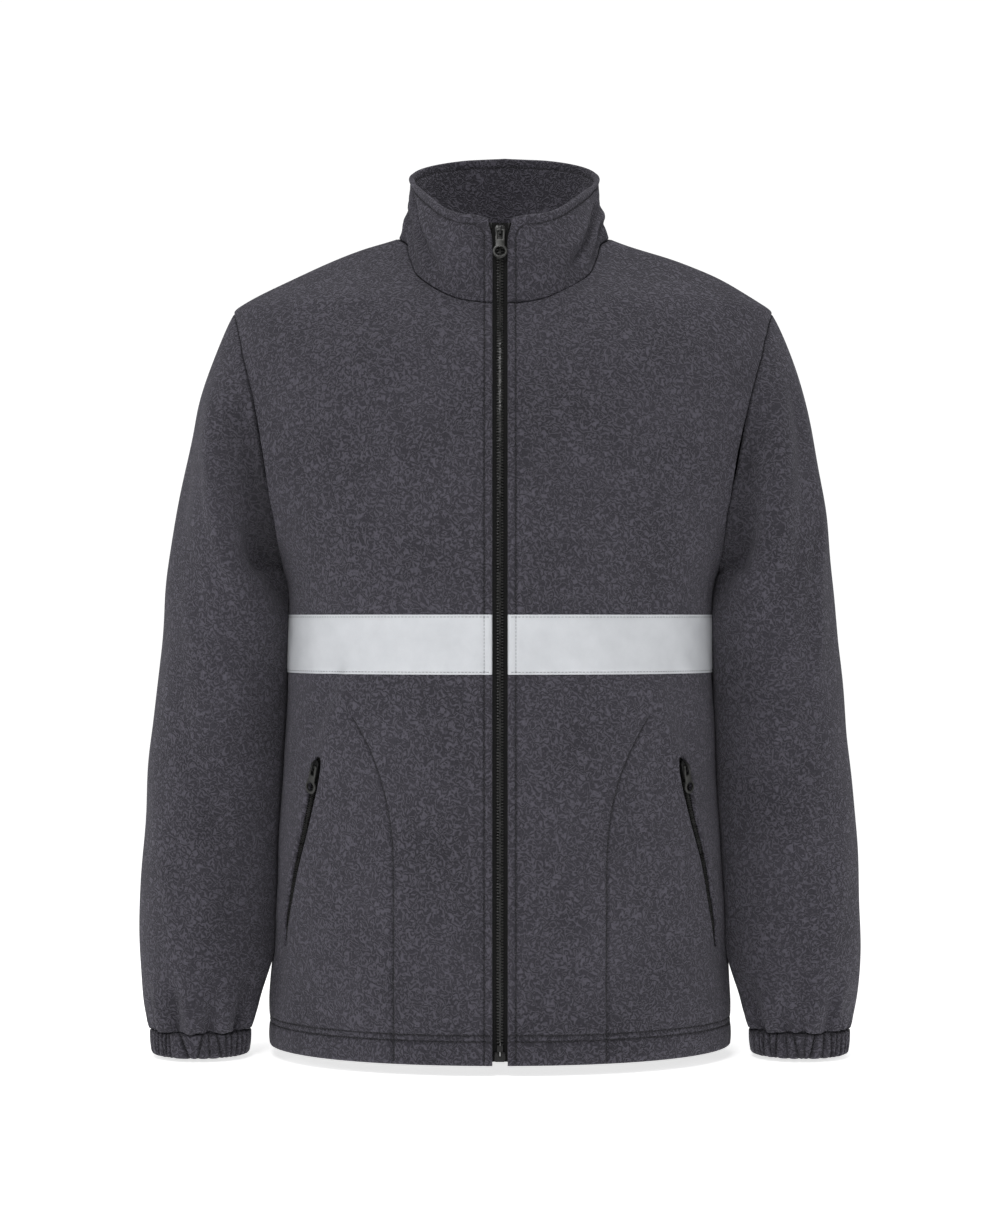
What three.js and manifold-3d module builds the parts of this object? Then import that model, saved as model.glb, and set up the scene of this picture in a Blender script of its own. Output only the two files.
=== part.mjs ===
// A men's fleece jacket with a full zip, filled out as it is when it is worn: millimetres, +Z up, the chest facing -Y.
// The origin is the middle of the neck base, level with the two points where shoulder seam and collar meet.
// Every piece of cloth is a closed wall: a grid of outer points, each with an inner point one thickness behind it.
import * as THREE from "three";
import Module from "manifold-3d";
import { mergeVertices } from "three/addons/utils/BufferGeometryUtils.js";

const wasm = await Module();
wasm.setup();

// Driving dimensions
const FLEECE = 2.4; // one layer of the cloth
const DOUBLE_FLEECE = 4.6; // two layers, at the hem, collar and cuffs
const SEAM_GAP = 0.3;
const BODY_LENGTH = 707; // shoulder point at the neck to the bottom edge
const HEM_DEPTH = 21;
const UNDERARM_Z = -300;
const SHOULDER_TIP_Z = -66;
const NECK_FRONT_Z = -65;
const NECK_BACK_Z = 10.5;
const BAND_TOP_Z = -331.3;
const BAND_WIDTH = 50;
const BAND_THICKNESS = 0.6;
const ZIP_OPENING = 12.8; // the width of zip that shows between the two front edges
const ZIP_SPREAD = 21; // the same at the very top, where the tape ends spread apart
const TAPE_THICKNESS = 0.8;
const TAPE_REACH = 13; // from the middle of the zip to the tape's outer edge
const CHAIN_WIDTH = 5.8;
const CHAIN_THICKNESS = 1.9;

const degrees = (angle) => (angle * Math.PI) / 180;
const mix = (a, b, t) => a + (b - a) * t;
const clamp01 = (t) => Math.min(1, Math.max(0, t));
const ease = (t) => clamp01(t) ** 2 * (3 - 2 * clamp01(t));
const steps = (count) => Array.from({ length: count + 1 }, (_, i) => i / count);

// A smooth curve through one column of a table whose rows are sorted by the key column.
function along(table, key, at, column) {
  const rising = table[1][key] > table[0][key] ? 1 : -1;
  let i = 0;
  while (i < table.length - 2 && rising * (at - table[i + 1][key]) > 0) i++;
  const slope = (j) => {
    const before = table[Math.max(j - 1, 0)];
    const after = table[Math.min(j + 1, table.length - 1)];
    return (after[column] - before[column]) / (after[key] - before[key]);
  };
  const [a, b] = [table[i], table[i + 1]];
  const span = b[key] - a[key];
  const t = Math.min(1, Math.max(0, (at - a[key]) / span));
  const rise = b[column] - a[column];
  const startSlope = slope(i) * span;
  const endSlope = slope(i + 1) * span;
  return (
    a[column] + startSlope * t + (3 * rise - 2 * startSlope - endSlope) * t * t +
    (startSlope + endSlope - 2 * rise) * t ** 3
  );
}

// The body of the jacket in level sections. Above the shoulder tip the half width follows the shoulder line.
const BODY_SECTIONS = [
  { z: -BODY_LENGTH, halfWidth: 201, front: 139, back: 129, square: 2.15 },
  { z: -660, halfWidth: 202.5, front: 140, back: 128, square: 2.2 },
  { z: -620, halfWidth: 200, front: 139, back: 125, square: 2.3 },
  { z: -560, halfWidth: 195.5, front: 137.5, back: 120, square: 2.4 },
  { z: -480, halfWidth: 190.5, front: 136, back: 117, square: 2.4 },
  { z: -400, halfWidth: 186.8, front: 135, back: 118, square: 2.4 },
  { z: -330, halfWidth: 185.4, front: 133, back: 122, square: 2.4 },
  { z: UNDERARM_Z, halfWidth: 188, front: 131, back: 124, square: 2.35 },
  { z: -260, halfWidth: 207, front: 128, back: 127, square: 2.3 },
  { z: -215, halfWidth: 227, front: 123, back: 128, square: 2.25 },
  { z: -170, halfWidth: 239, front: 116, back: 126, square: 2.2 },
  { z: -130, halfWidth: 243, front: 107, back: 119, square: 2.15 },
  { z: -100, halfWidth: 243, front: 98, back: 112, square: 2.1 },
  { z: SHOULDER_TIP_Z, halfWidth: 237, front: 80, back: 102, square: 2 },
  { z: -58, halfWidth: 227, front: 74, back: 100, square: 2 },
  { z: -43, halfWidth: 200, front: 58, back: 94, square: 2 },
  { z: -27, halfWidth: 167, front: 40, back: 86, square: 2 },
  { z: -11, halfWidth: 126, front: 24, back: 77, square: 2 },
  { z: 0, halfWidth: 93, front: 14, back: 70, square: 2 },
  { z: 14, halfWidth: 62, front: 6, back: 60, square: 2 },
];

// Soft ridges and troughs of the fronts, as lines seen from the front: height above zero, depth below.
const FRONT_FOLDS = [
  { side: -1, x: 130, z: -386, toX: 150, toZ: -452, width: 9, height: 3 },
  { side: -1, x: 143, z: -392, toX: 166, toZ: -446, width: 9, height: -3 },
  { side: -1, x: 190, z: -612, toX: 193, toZ: -652, width: 7, height: -3 },
  { side: 1, x: 131, z: -400, toX: 147, toZ: -450, width: 9, height: 3 },
  { side: 1, x: 152, z: -392, toX: 162, toZ: -440, width: 9, height: -2.5 },
  { side: 1, x: 190, z: -614, toX: 195, toZ: -650, width: 7, height: -2.5 },
];

// The rise of a fold at a point of a plane: full along its line, rounded off at both ends.
function foldRise(fold, x, y, startX, startY, endX, endY) {
  const length = Math.hypot(endX - startX, endY - startY);
  const [alongX, alongY] = [(endX - startX) / length, (endY - startY) / length];
  const run = (x - startX) * alongX + (y - startY) * alongY;
  const away = (x - startX) * alongY - (y - startY) * alongX;
  const past = Math.max(0, -run, run - length);
  return fold.height * Math.exp(-((away / fold.width) ** 2) - (past / (2 * fold.width)) ** 2);
}

// The turned-up hem is fuller than the cloth above it, and its bottom edge is rounded.
function hemRise(z) {
  const up = (z + BODY_LENGTH) / HEM_DEPTH;
  return up < 1 ? 1.4 * Math.sin(Math.PI * (0.25 + 0.75 * up)) : 0;
}

// The worn jacket leans a little to its own left from the chest up, all but the front zip.
const NECK_LEAN = 3.5;
const leanAt = (z, angle) =>
  NECK_LEAN * ease((z + 260) / 260) * (1 - Math.max(0, Math.cos(degrees(angle))) ** 2);

// A point of the body's outer face. The angle is seen from above: 0 at the centre front, 90 at the side.
function bodyPoint(side, z, angle) {
  const [halfWidth, front, back, square] = ["halfWidth", "front", "back", "square"].map((c) =>
    along(BODY_SECTIONS, "z", z, c),
  );
  const across = Math.sin(degrees(angle));
  const ahead = Math.cos(degrees(angle));
  const depth = ahead > 0 ? front : back;
  const radius =
    (Math.abs(across / halfWidth) ** square + Math.abs(ahead / depth) ** square) ** (-1 / square);
  let rise = hemRise(z);
  if (ahead > 0)
    for (const fold of FRONT_FOLDS)
      if (fold.side === side)
        rise += foldRise(fold, radius * across, z, fold.x, fold.z, fold.toX, fold.toZ);
  const x = side * (radius + rise) * across + leanAt(z, angle);
  return new THREE.Vector3(x, -(radius + rise) * ahead, z);
}

// The outward normal of any face given as a function of two numbers, kept on the side of a hint.
function normalOf(point, a, b, stepA, stepB, hint) {
  const alongA = point(a + stepA, b).sub(point(a - stepA, b));
  const alongB = point(a, b + stepB).sub(point(a, b - stepB));
  const normal = alongA.cross(alongB).normalize();
  return normal.dot(hint) < 0 ? normal.negate() : normal;
}

function bodyNormal(side, z, angle) {
  const at = bodyPoint(side, z, angle);
  const hint = new THREE.Vector3(at.x, at.y, 20);
  return normalOf((a, b) => bodyPoint(side, a, b), z, angle, 0.6, 0.6, hint);
}

// The neck seam: its height by angle, from the centre front to the centre back.
const NECK_SEAM = [
  { angle: 0, z: NECK_FRONT_Z },
  { angle: 15, z: -64 },
  { angle: 30, z: -59 },
  { angle: 55, z: -40 },
  { angle: 70, z: -22 },
  { angle: 82, z: -6 },
  { angle: 90, z: 0 },
  { angle: 110, z: 3.5 },
  { angle: 135, z: 8 },
  { angle: 160, z: 10 },
  { angle: 180, z: NECK_BACK_Z },
];
const neckPoint = (side, angle) => bodyPoint(side, along(NECK_SEAM, "angle", angle, "z"), angle);

// The armhole seam on the body, from 0 at the shoulder tip round to 180 at the underarm, on the front or the back.
function armholeAt(turn, onBack) {
  const middle = (SHOULDER_TIP_Z + UNDERARM_Z) / 2;
  const half = (SHOULDER_TIP_Z - UNDERARM_Z) / 2;
  const swing = 17.2 * Math.sin(degrees(turn)) * (1 - 0.3 * Math.cos(degrees(turn)));
  return { z: middle + half * Math.cos(degrees(turn)), angle: onBack ? 90 + swing : 90 - swing };
}
function armholePoint(side, turn, onBack) {
  const { z, angle } = armholeAt(turn, onBack);
  return bodyPoint(side, z, angle);
}

// Level sections of the hanging sleeve, below the underarm.
const SLEEVE_SECTIONS = [
  { z: -330, x: 241.5, y: 2, halfWidth: 53.3, halfDepth: 72 },
  { z: -380, x: 245, y: 2, halfWidth: 55.4, halfDepth: 69 },
  { z: -430, x: 248, y: 0, halfWidth: 57.5, halfDepth: 65 },
  { z: -480, x: 251.5, y: -3, halfWidth: 58.3, halfDepth: 62 },
  { z: -536, x: 254.6, y: -8, halfWidth: 58, halfDepth: 59.5 },
  { z: -592, x: 257.4, y: -13, halfWidth: 57, halfDepth: 57 },
  { z: -634, x: 259, y: -17, halfWidth: 54.5, halfDepth: 54 },
  { z: -662, x: 260, y: -20, halfWidth: 51, halfDepth: 50 },
  { z: -682, x: 260.7, y: -22, halfWidth: 46, halfDepth: 44 },
  { z: -694, x: 261, y: -23, halfWidth: 42.5, halfDepth: 39 },
];
const SLEEVE_START_Z = SLEEVE_SECTIONS[0].z;
const CUFF_TOP_Z = -691.5;
const CUFF_BOTTOM_Z = -713.5;

// Folds of the sleeves: turn is 0 at the underarm, 90 in front, 180 outside; a degree counts as a millimetre.
const SLEEVE_FOLDS = [
  { side: -1, turn: 138, z: -140, toTurn: 52, toZ: -335, width: 13, height: 4.5 },
  { side: -1, turn: 112, z: -135, toTurn: 38, toZ: -290, width: 12, height: -4.5 },
  { side: -1, turn: 160, z: -185, toTurn: 108, toZ: -330, width: 12, height: -2.5 },
  { side: 1, turn: 122, z: -135, toTurn: 62, toZ: -300, width: 13, height: 4.5 },
  { side: 1, turn: 104, z: -150, toTurn: 40, toZ: -290, width: 11, height: -4 },
  { side: 1, turn: 152, z: -130, toTurn: 138, toZ: -270, width: 9, height: 3 },
  { side: 1, turn: 136, z: -150, toTurn: 108, toZ: -290, width: 9, height: -3 },
  { side: -1, turn: 225, z: -140, toTurn: 305, toZ: -320, width: 13, height: 4 },
  { side: 1, turn: 232, z: -145, toTurn: 310, toZ: -310, width: 12, height: 4 },
];

// Gathers of the sleeve above the cuff: uneven folds that grow towards the elastic.
function gatherRise(turn, z) {
  const grown = ease((z + 632) / (CUFF_TOP_Z + 632));
  const wave = Math.sin(degrees(9 * turn - 40)) + 0.5 * Math.sin(degrees(5 * turn + 70));
  return 1.9 * wave * grown * (1 - 0.45 * ease((z + 684) / (CUFF_TOP_Z + 684)));
}

const sleeveSection = (z) =>
  Object.fromEntries(
    ["x", "y", "halfWidth", "halfDepth"].map((c) => [c, along(SLEEVE_SECTIONS, "z", z, c)]),
  );

// A point of a level section of the sleeve, before its folds.
function sectionPoint(z, turn) {
  const { x, y, halfWidth, halfDepth } = sleeveSection(z);
  return new THREE.Vector3(
    x - halfWidth * Math.cos(degrees(turn)),
    y - halfDepth * Math.sin(degrees(turn)),
    z,
  );
}

// The cap of the sleeve: each line of the cloth swings from the armhole seam down to the first level section.
function capPoint(side, down, turn) {
  const onBack = turn > 180;
  const start = armholePoint(side, onBack ? turn - 180 : 180 - turn, onBack);
  start.x *= side;
  const end = sectionPoint(SLEEVE_START_Z, turn);
  const reach = start.distanceTo(end);
  const lateral = (1 - Math.cos(degrees(turn))) / 2; // 0 at the underarm, 1 at the shoulder
  const forward = -Math.sin(degrees(turn));
  const leave = new THREE.Vector3(mix(0.95, 0.435, lateral ** 0.5), 0.3 * forward, -0.9 * lateral);
  leave.normalize().multiplyScalar(reach * mix(1.25, 1, lateral));
  const arrive = new THREE.Vector3(0.1 * lateral, 0, -1).normalize().multiplyScalar(reach);
  const t = down;
  return new THREE.Vector3()
    .addScaledVector(start, 2 * t ** 3 - 3 * t ** 2 + 1)
    .addScaledVector(leave, t ** 3 - 2 * t ** 2 + t)
    .addScaledVector(end, -2 * t ** 3 + 3 * t ** 2)
    .addScaledVector(arrive, t ** 3 - t ** 2);
}

// A point of the sleeve's outer face: down runs from 0 at the armhole to 1 at the first level section and 2 at the cuff.
function sleevePoint(side, down, turn) {
  const z = mix(SLEEVE_START_Z, CUFF_TOP_Z, down - 1);
  const point = down < 1 ? capPoint(side, down, turn) : sectionPoint(z, turn);
  const outward = new THREE.Vector3(-Math.cos(degrees(turn)), -Math.sin(degrees(turn)), 0);
  const awayFromSeam = ease(down / 0.35);
  let rise = gatherRise(turn, point.z);
  for (const fold of SLEEVE_FOLDS)
    if (fold.side === side)
      rise += foldRise(fold, turn, point.z, fold.turn, fold.z, fold.toTurn, fold.toZ);
  point.addScaledVector(outward, rise * awayFromSeam);
  point.x *= side;
  return point;
}

function sleeveNormal(side, down, turn) {
  const hint = new THREE.Vector3(-side * Math.cos(degrees(turn)), -Math.sin(degrees(turn)), 0);
  const at = Math.min(Math.max(down, 0.02), 1.999);
  return normalOf((a, b) => sleevePoint(side, a, (b + 360) % 360), at, turn, 0.01, 1, hint);
}

// At a seam both pieces share one face, which runs inwards halfway between their two normals.
const between = (a, b) => a.clone().add(b).normalize();
function armholeLean(side, turn, onBack) {
  const { z, angle } = armholeAt(turn, onBack);
  const round = onBack ? 180 + turn : 180 - turn;
  return between(bodyNormal(side, z, angle), sleeveNormal(side, 0.02, round));
}

// The collar's top edge, by angle from the centre front.
const COLLAR_TOP = [
  { angle: 0, radius: 76, z: 6 },
  { angle: 8, radius: 76.5, z: 8 },
  { angle: 16, radius: 77.5, z: 10.5 },
  { angle: 27, radius: 79, z: 12.5 },
  { angle: 40, radius: 79, z: 19 },
  { angle: 55, radius: 78, z: 30 },
  { angle: 75, radius: 78, z: 42 },
  { angle: 92, radius: 83, z: 51 },
  { angle: 106, radius: 88, z: 59.5 },
  { angle: 120, radius: 87, z: 67.5 },
  { angle: 133, radius: 79.5, z: 73.5 },
  { angle: 148, radius: 71.5, z: 77.5 },
  { angle: 163, radius: 65.5, z: 79 },
  { angle: 180, radius: 63, z: 80 },
];

// Slanting folds of the collar: angle round the neck against height, 0 at the seam and 1 at the top.
const COLLAR_FOLDS = [
  { side: -1, angle: 34, up: 0.35, toAngle: 78, toUp: 0.95, width: 9, height: 2.2 },
  { side: -1, angle: 48, up: 0.3, toAngle: 88, toUp: 0.8, width: 7, height: -2.2 },
  { side: -1, angle: 64, up: 0.25, toAngle: 98, toUp: 0.65, width: 7, height: 2 },
  { side: 1, angle: 38, up: 0.35, toAngle: 80, toUp: 0.95, width: 9, height: 2.2 },
  { side: 1, angle: 52, up: 0.3, toAngle: 90, toUp: 0.8, width: 7, height: -2 },
  { side: 1, angle: 68, up: 0.25, toAngle: 100, toUp: 0.65, width: 7, height: 1.8 },
];
const COLLAR_ROW = 70; // a collar's height, in the folds' units

function collarPoint(side, angle, up) {
  const base = neckPoint(side, angle);
  const radius = along(COLLAR_TOP, "angle", angle, "radius");
  const topZ = along(COLLAR_TOP, "angle", angle, "z");
  const top = new THREE.Vector3(
    side * radius * Math.sin(degrees(angle)) + 1.2 * leanAt(topZ, angle),
    -radius * Math.cos(degrees(angle)),
    topZ,
  );
  const point = base.lerp(top, up);
  let rise = (0.5 + 2 * Math.cos(2 * degrees(angle))) * Math.sin(Math.PI * up);
  for (const fold of COLLAR_FOLDS)
    if (fold.side === side)
      rise +=
        foldRise(
          fold, angle, up * COLLAR_ROW,
          fold.angle, fold.up * COLLAR_ROW, fold.toAngle, fold.toUp * COLLAR_ROW,
        ) * Math.sin(Math.PI * clamp01(up)) ** 0.6;
  const outward = new THREE.Vector3(side * Math.sin(degrees(angle)), -Math.cos(degrees(angle)), 0);
  return point.addScaledVector(outward, rise);
}
function collarNormal(side, angle, up) {
  const hint = new THREE.Vector3(side * Math.sin(degrees(angle)), -Math.cos(degrees(angle)), 0);
  const inside = Math.min(Math.max(up, 0.02), 0.98);
  return normalOf((a, b) => collarPoint(side, a, b), angle, inside, 0.6, 0.02, hint);
}
const neckLean = (side, angle) =>
  between(
    bodyNormal(side, along(NECK_SEAM, "angle", angle, "z"), angle),
    collarNormal(side, angle, 0.02),
  );

// A closed wall from rows of points, each { outer, inner }. A ring's rows close on themselves.
function wall(rows, ring = false) {
  const columns = rows[0].length;
  const position = [];
  for (const face of ["outer", "inner"])
    for (const row of rows) for (const point of row) position.push(...point[face].toArray());
  const at = (inside, row, column) => (inside * rows.length + row) * columns + (column % columns);
  const index = [];
  const quad = (a, b, c, d) => index.push(a, b, c, a, c, d);
  const last = ring ? columns : columns - 1;
  for (let r = 0; r < rows.length - 1; r++)
    for (let c = 0; c < last; c++) {
      quad(at(0, r, c), at(0, r, c + 1), at(0, r + 1, c + 1), at(0, r + 1, c));
      quad(at(1, r, c), at(1, r + 1, c), at(1, r + 1, c + 1), at(1, r, c + 1));
    }
  const top = rows.length - 1;
  for (let c = 0; c < last; c++) {
    quad(at(0, 0, c), at(1, 0, c), at(1, 0, c + 1), at(0, 0, c + 1));
    quad(at(0, top, c), at(0, top, c + 1), at(1, top, c + 1), at(1, top, c));
  }
  if (!ring)
    for (let r = 0; r < top; r++) {
      quad(at(0, r, 0), at(0, r + 1, 0), at(1, r + 1, 0), at(1, r, 0));
      quad(at(0, r, last), at(1, r, last), at(1, r + 1, last), at(0, r + 1, last));
    }
  return facingOut(position, index);
}

// Indexed geometry whose faces all point out, whichever way round the rows were listed.
function facingOut(position, index) {
  const corner = (i) => new THREE.Vector3().fromArray(position, 3 * i);
  let volume = 0;
  for (let i = 0; i < index.length; i += 3)
    volume += corner(index[i]).dot(corner(index[i + 1]).cross(corner(index[i + 2])));
  if (volume < 0)
    for (let i = 0; i < index.length; i += 3)
      [index[i + 1], index[i + 2]] = [index[i + 2], index[i + 1]];
  const geometry = new THREE.BufferGeometry();
  geometry.setAttribute("position", new THREE.Float32BufferAttribute(position, 3));
  return geometry.setIndex(index);
}

const behind = (outer, normal, thickness) => ({
  outer,
  inner: outer.clone().addScaledVector(normal, -thickness),
});

// Moves the points of one edge of a panel back from its seam by half the seam gap.
function stepBack(rows, picked) {
  const moves = [];
  for (const { row, column, inwardRow, inwardColumn, before, after } of picked) {
    const point = rows[row][column];
    const toward = rows[inwardRow][inwardColumn].outer.clone().sub(point.outer);
    const tangent = rows[after[0]][after[1]].outer
      .clone()
      .sub(rows[before[0]][before[1]].outer)
      .normalize();
    const lean = point.outer.clone().sub(point.inner).normalize();
    const across = tangent.cross(lean).normalize();
    if (across.dot(toward) < 0) across.negate();
    moves.push([point, across.multiplyScalar(SEAM_GAP / 2)]);
  }
  for (const [point, move] of moves) {
    point.outer.add(move);
    point.inner.add(move);
  }
}
function stepBackColumn(rows, column, from, to) {
  const inwardColumn = column === 0 ? 1 : column - 1;
  const picked = [];
  for (let row = from; row <= to; row++)
    picked.push({
      row, column, inwardRow: row, inwardColumn,
      before: [Math.max(row - 1, from), column], after: [Math.min(row + 1, to), column],
    });
  stepBack(rows, picked);
}
function stepBackRow(rows, row, from, to) {
  const inwardRow = row === 0 ? 1 : row - 1;
  const picked = [];
  for (let column = from; column <= to; column++)
    picked.push({
      row, column, inwardRow, inwardColumn: column,
      before: [row, Math.max(column - 1, from)], after: [row, Math.min(column + 1, to)],
    });
  stepBack(rows, picked);
}

// Heights of the body's rows below the underarm. The band's two edges are rows, so that it lies flat on them.
const BAND_BOTTOM_Z = BAND_TOP_Z - BAND_WIDTH;
const LOW_ROWS = [
  -BODY_LENGTH, -702, -691, -685, -680, -650, -612, -572, -532, -496, -462, -442, -424, -405,
  BAND_BOTTOM_Z, BAND_BOTTOM_Z + BAND_WIDTH / 2, BAND_TOP_Z, -316, UNDERARM_Z,
];
const BACK_LOW_ROWS = LOW_ROWS.filter((z) => ![-496, -442, -424, -316].includes(z));
const HIGH_STEPS = 10; // rows from the underarm to the shoulder, each on an armhole point
const SHOULDER_STEPS = 6; // columns along a shoulder seam
const FRONT_NECK_STEPS = 8; // and along each half of the neck seam, in front and behind
const BACK_NECK_STEPS = 6;

// Where a row and column of half a body panel lie on the body, as a height and an angle.
// edgeAngle gives the panel's inner edge: the zip on a front, 180 degrees on the back.
function panelPlace(onBack, rowIndex, column, edgeAngle) {
  const neckSteps = onBack ? BACK_NECK_STEPS : FRONT_NECK_STEPS;
  const u = column / (neckSteps + SHOULDER_STEPS);
  const lowRows = onBack ? BACK_LOW_ROWS : LOW_ROWS;
  const lowTop = lowRows.length - 1;
  if (rowIndex <= lowTop) {
    const z = lowRows[rowIndex];
    return { z, angle: mix(edgeAngle(z), 90, u) };
  }
  const s = (rowIndex - lowTop) / HIGH_STEPS;
  const neckZ = onBack ? NECK_BACK_Z : NECK_FRONT_Z;
  const start = { z: UNDERARM_Z, angle: mix(edgeAngle(UNDERARM_Z), 90, u) };
  const neckAngle = mix(edgeAngle(neckZ), 90, column / neckSteps);
  const end =
    column <= neckSteps
      ? { z: along(NECK_SEAM, "angle", neckAngle, "z"), angle: neckAngle }
      : { z: mix(0, SHOULDER_TIP_Z, (column - neckSteps) / SHOULDER_STEPS), angle: 90 };
  const middleZ = mix(UNDERARM_Z, along(NECK_SEAM, "angle", edgeAngle(neckZ), "z"), s);
  const inner = { z: middleZ, angle: edgeAngle(middleZ) };
  const outer = armholeAt(180 - 180 * s, onBack);
  const blend = (key, low, lowSide, high, highSide) =>
    (1 - s) * start[key] + s * end[key] + (1 - u) * inner[key] + u * outer[key] -
    ((1 - u) * (1 - s) * low + u * (1 - s) * lowSide + (1 - u) * s * high + u * s * highSide);
  const neckEdgeZ = along(NECK_SEAM, "angle", edgeAngle(neckZ), "z");
  return {
    z: blend("z", UNDERARM_Z, UNDERARM_Z, neckEdgeZ, SHOULDER_TIP_Z),
    angle: blend("angle", edgeAngle(UNDERARM_Z), 90, edgeAngle(neckZ), 90),
  };
}

// One point of a body panel with its inner point: at a shared seam it leans as the other piece does.
function panelPoint(side, onBack, rowIndex, column, edgeAngle) {
  const { z, angle } = panelPlace(onBack, rowIndex, column, edgeAngle);
  const lowTop = (onBack ? BACK_LOW_ROWS : LOW_ROWS).length - 1;
  const outer = bodyPoint(side, z, angle);
  const inHem = z < -BODY_LENGTH + HEM_DEPTH + 0.5;
  let lean = bodyNormal(side, z, angle);
  const atTop = rowIndex === lowTop + HIGH_STEPS;
  const neckSteps = onBack ? BACK_NECK_STEPS : FRONT_NECK_STEPS;
  if (rowIndex >= lowTop && column === neckSteps + SHOULDER_STEPS)
    lean = armholeLean(side, 180 - (180 * (rowIndex - lowTop)) / HIGH_STEPS, onBack);
  else if (atTop && column <= neckSteps) lean = neckLean(side, angle);
  return behind(outer, lean, inHem ? DOUBLE_FLEECE : FLEECE);
}

const reachAt = (z, angle) =>
  Math.hypot(bodyPoint(1, z, angle).x - leanAt(z, angle), bodyPoint(1, z, angle).y);
const zipEdge = (z) => (Math.asin(ZIP_OPENING / 2 / reachAt(z, 0)) * 180) / Math.PI;


function frontRows(side) {
  const rows = [];
  const last = FRONT_NECK_STEPS + SHOULDER_STEPS;
  const underarm = LOW_ROWS.length - 1;
  const top = underarm + HIGH_STEPS;
  for (let r = 0; r <= top; r++)
    rows.push(Array.from({ length: last + 1 }, (_, c) => panelPoint(side, false, r, c, zipEdge)));
  stepBackColumn(rows, last, 0, underarm);
  stepBackColumn(rows, last, underarm, top);
  stepBackRow(rows, top, 0, FRONT_NECK_STEPS);
  stepBackRow(rows, top, FRONT_NECK_STEPS, last);
  return rows;
}

function backRows() {
  const rows = [];
  const edge = () => 180;
  const half = BACK_NECK_STEPS + SHOULDER_STEPS;
  const underarm = BACK_LOW_ROWS.length - 1;
  const top = underarm + HIGH_STEPS;
  for (let r = 0; r <= top; r++) {
    const right = [];
    for (let c = half; c > 0; c--) right.push(panelPoint(-1, true, r, c, edge));
    const left = [];
    for (let c = 0; c <= half; c++) left.push(panelPoint(1, true, r, c, edge));
    rows.push([...right, ...left]);
  }
  const last = 2 * half;
  for (const column of [0, last]) {
    stepBackColumn(rows, column, 0, underarm);
    stepBackColumn(rows, column, underarm, top);
  }
  stepBackRow(rows, top, 0, SHOULDER_STEPS);
  stepBackRow(rows, top, SHOULDER_STEPS, last - SHOULDER_STEPS);
  stepBackRow(rows, top, last - SHOULDER_STEPS, last);
  return rows;
}

// The sleeve: every second point of its first ring meets an armhole point, and the others lie midway.
const SLEEVE_POINTS = 4 * HIGH_STEPS;
const CAP_ROWS = [0, 0.1, 0.23, 0.38, 0.54, 0.7, 0.85, 1];
const ARM_ROWS_Z = [-380, -440, -505, -570, -625, -655, -677, CUFF_TOP_Z + 0.3];

function sleeveRows(side) {
  const turns = Array.from({ length: SLEEVE_POINTS }, (_, i) => (360 * i) / SLEEVE_POINTS);
  const downs = [
    ...CAP_ROWS,
    ...ARM_ROWS_Z.map((z) => 1 + (z - SLEEVE_START_Z) / (CUFF_TOP_Z - SLEEVE_START_Z)),
  ];
  const rows = downs.map((down) =>
    turns.map((turn) => behind(sleevePoint(side, down, turn), sleeveNormal(side, down, turn), FLEECE)),
  );
  rows[0].forEach((point, i) => {
    if (i % 2) return;
    const onBack = turns[i] > 180;
    const turn = onBack ? turns[i] - 180 : 180 - turns[i];
    const leaned = behind(point.outer, armholeLean(side, turn, onBack), FLEECE);
    const next = rows[1][i].outer.clone().sub(point.outer);
    const around = armholePoint(side, Math.min(turn + 3, 180), onBack).sub(
      armholePoint(side, Math.max(turn - 3, 0), onBack),
    );
    const across = around.cross(leaned.outer.clone().sub(leaned.inner)).normalize();
    if (across.dot(next) < 0) across.negate();
    across.multiplyScalar(SEAM_GAP / 2);
    rows[0][i] = { outer: leaned.outer.add(across), inner: leaned.inner.add(across) };
  });
  for (let i = 1; i < SLEEVE_POINTS; i += 2) {
    const [before, after] = [rows[0][i - 1], rows[0][(i + 1) % SLEEVE_POINTS]];
    rows[0][i] = {
      outer: before.outer.clone().lerp(after.outer, 0.5),
      inner: before.inner.clone().lerp(after.inner, 0.5),
    };
  }
  // The last ring is level, so that the cuff can close on it.
  for (const point of rows.at(-1)) point.inner.z = point.outer.z;
  return rows;
}

// The cuff: an elastic casing drawn up into small ribs over a plain inside.
const CUFF_RIBS = 24;
const CUFF_POINTS = 4 * CUFF_RIBS;
const CUFF_ROWS = [
  { down: 0, swell: -0.5 },
  { down: 0.5, swell: 0.8 },
  { down: 1, swell: -0.8 },
];
function cuffRows(side) {
  return CUFF_ROWS.map(({ down, swell }) =>
    Array.from({ length: CUFF_POINTS }, (_, i) => {
      const turn = (360 * i) / CUFF_POINTS;
      const rib = Math.sin(degrees(CUFF_RIBS * turn)) * (1 + 0.3 * Math.sin(degrees(5 * turn)));
      const z = mix(CUFF_TOP_Z, CUFF_BOTTOM_Z, down);
      const halfWidth = mix(43.4, 41.6, down) + swell;
      const halfDepth = mix(39.8, 37.6, down) + swell;
      const place = (grow) =>
        new THREE.Vector3(
          side * (261 - (halfWidth + grow) * Math.cos(degrees(turn))),
          -23 - (halfDepth + grow) * Math.sin(degrees(turn)),
          z,
        );
      return { outer: place(0.9 * rib), inner: place(-DOUBLE_FLEECE + 0.6 - swell) };
    }),
  );
}

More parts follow.
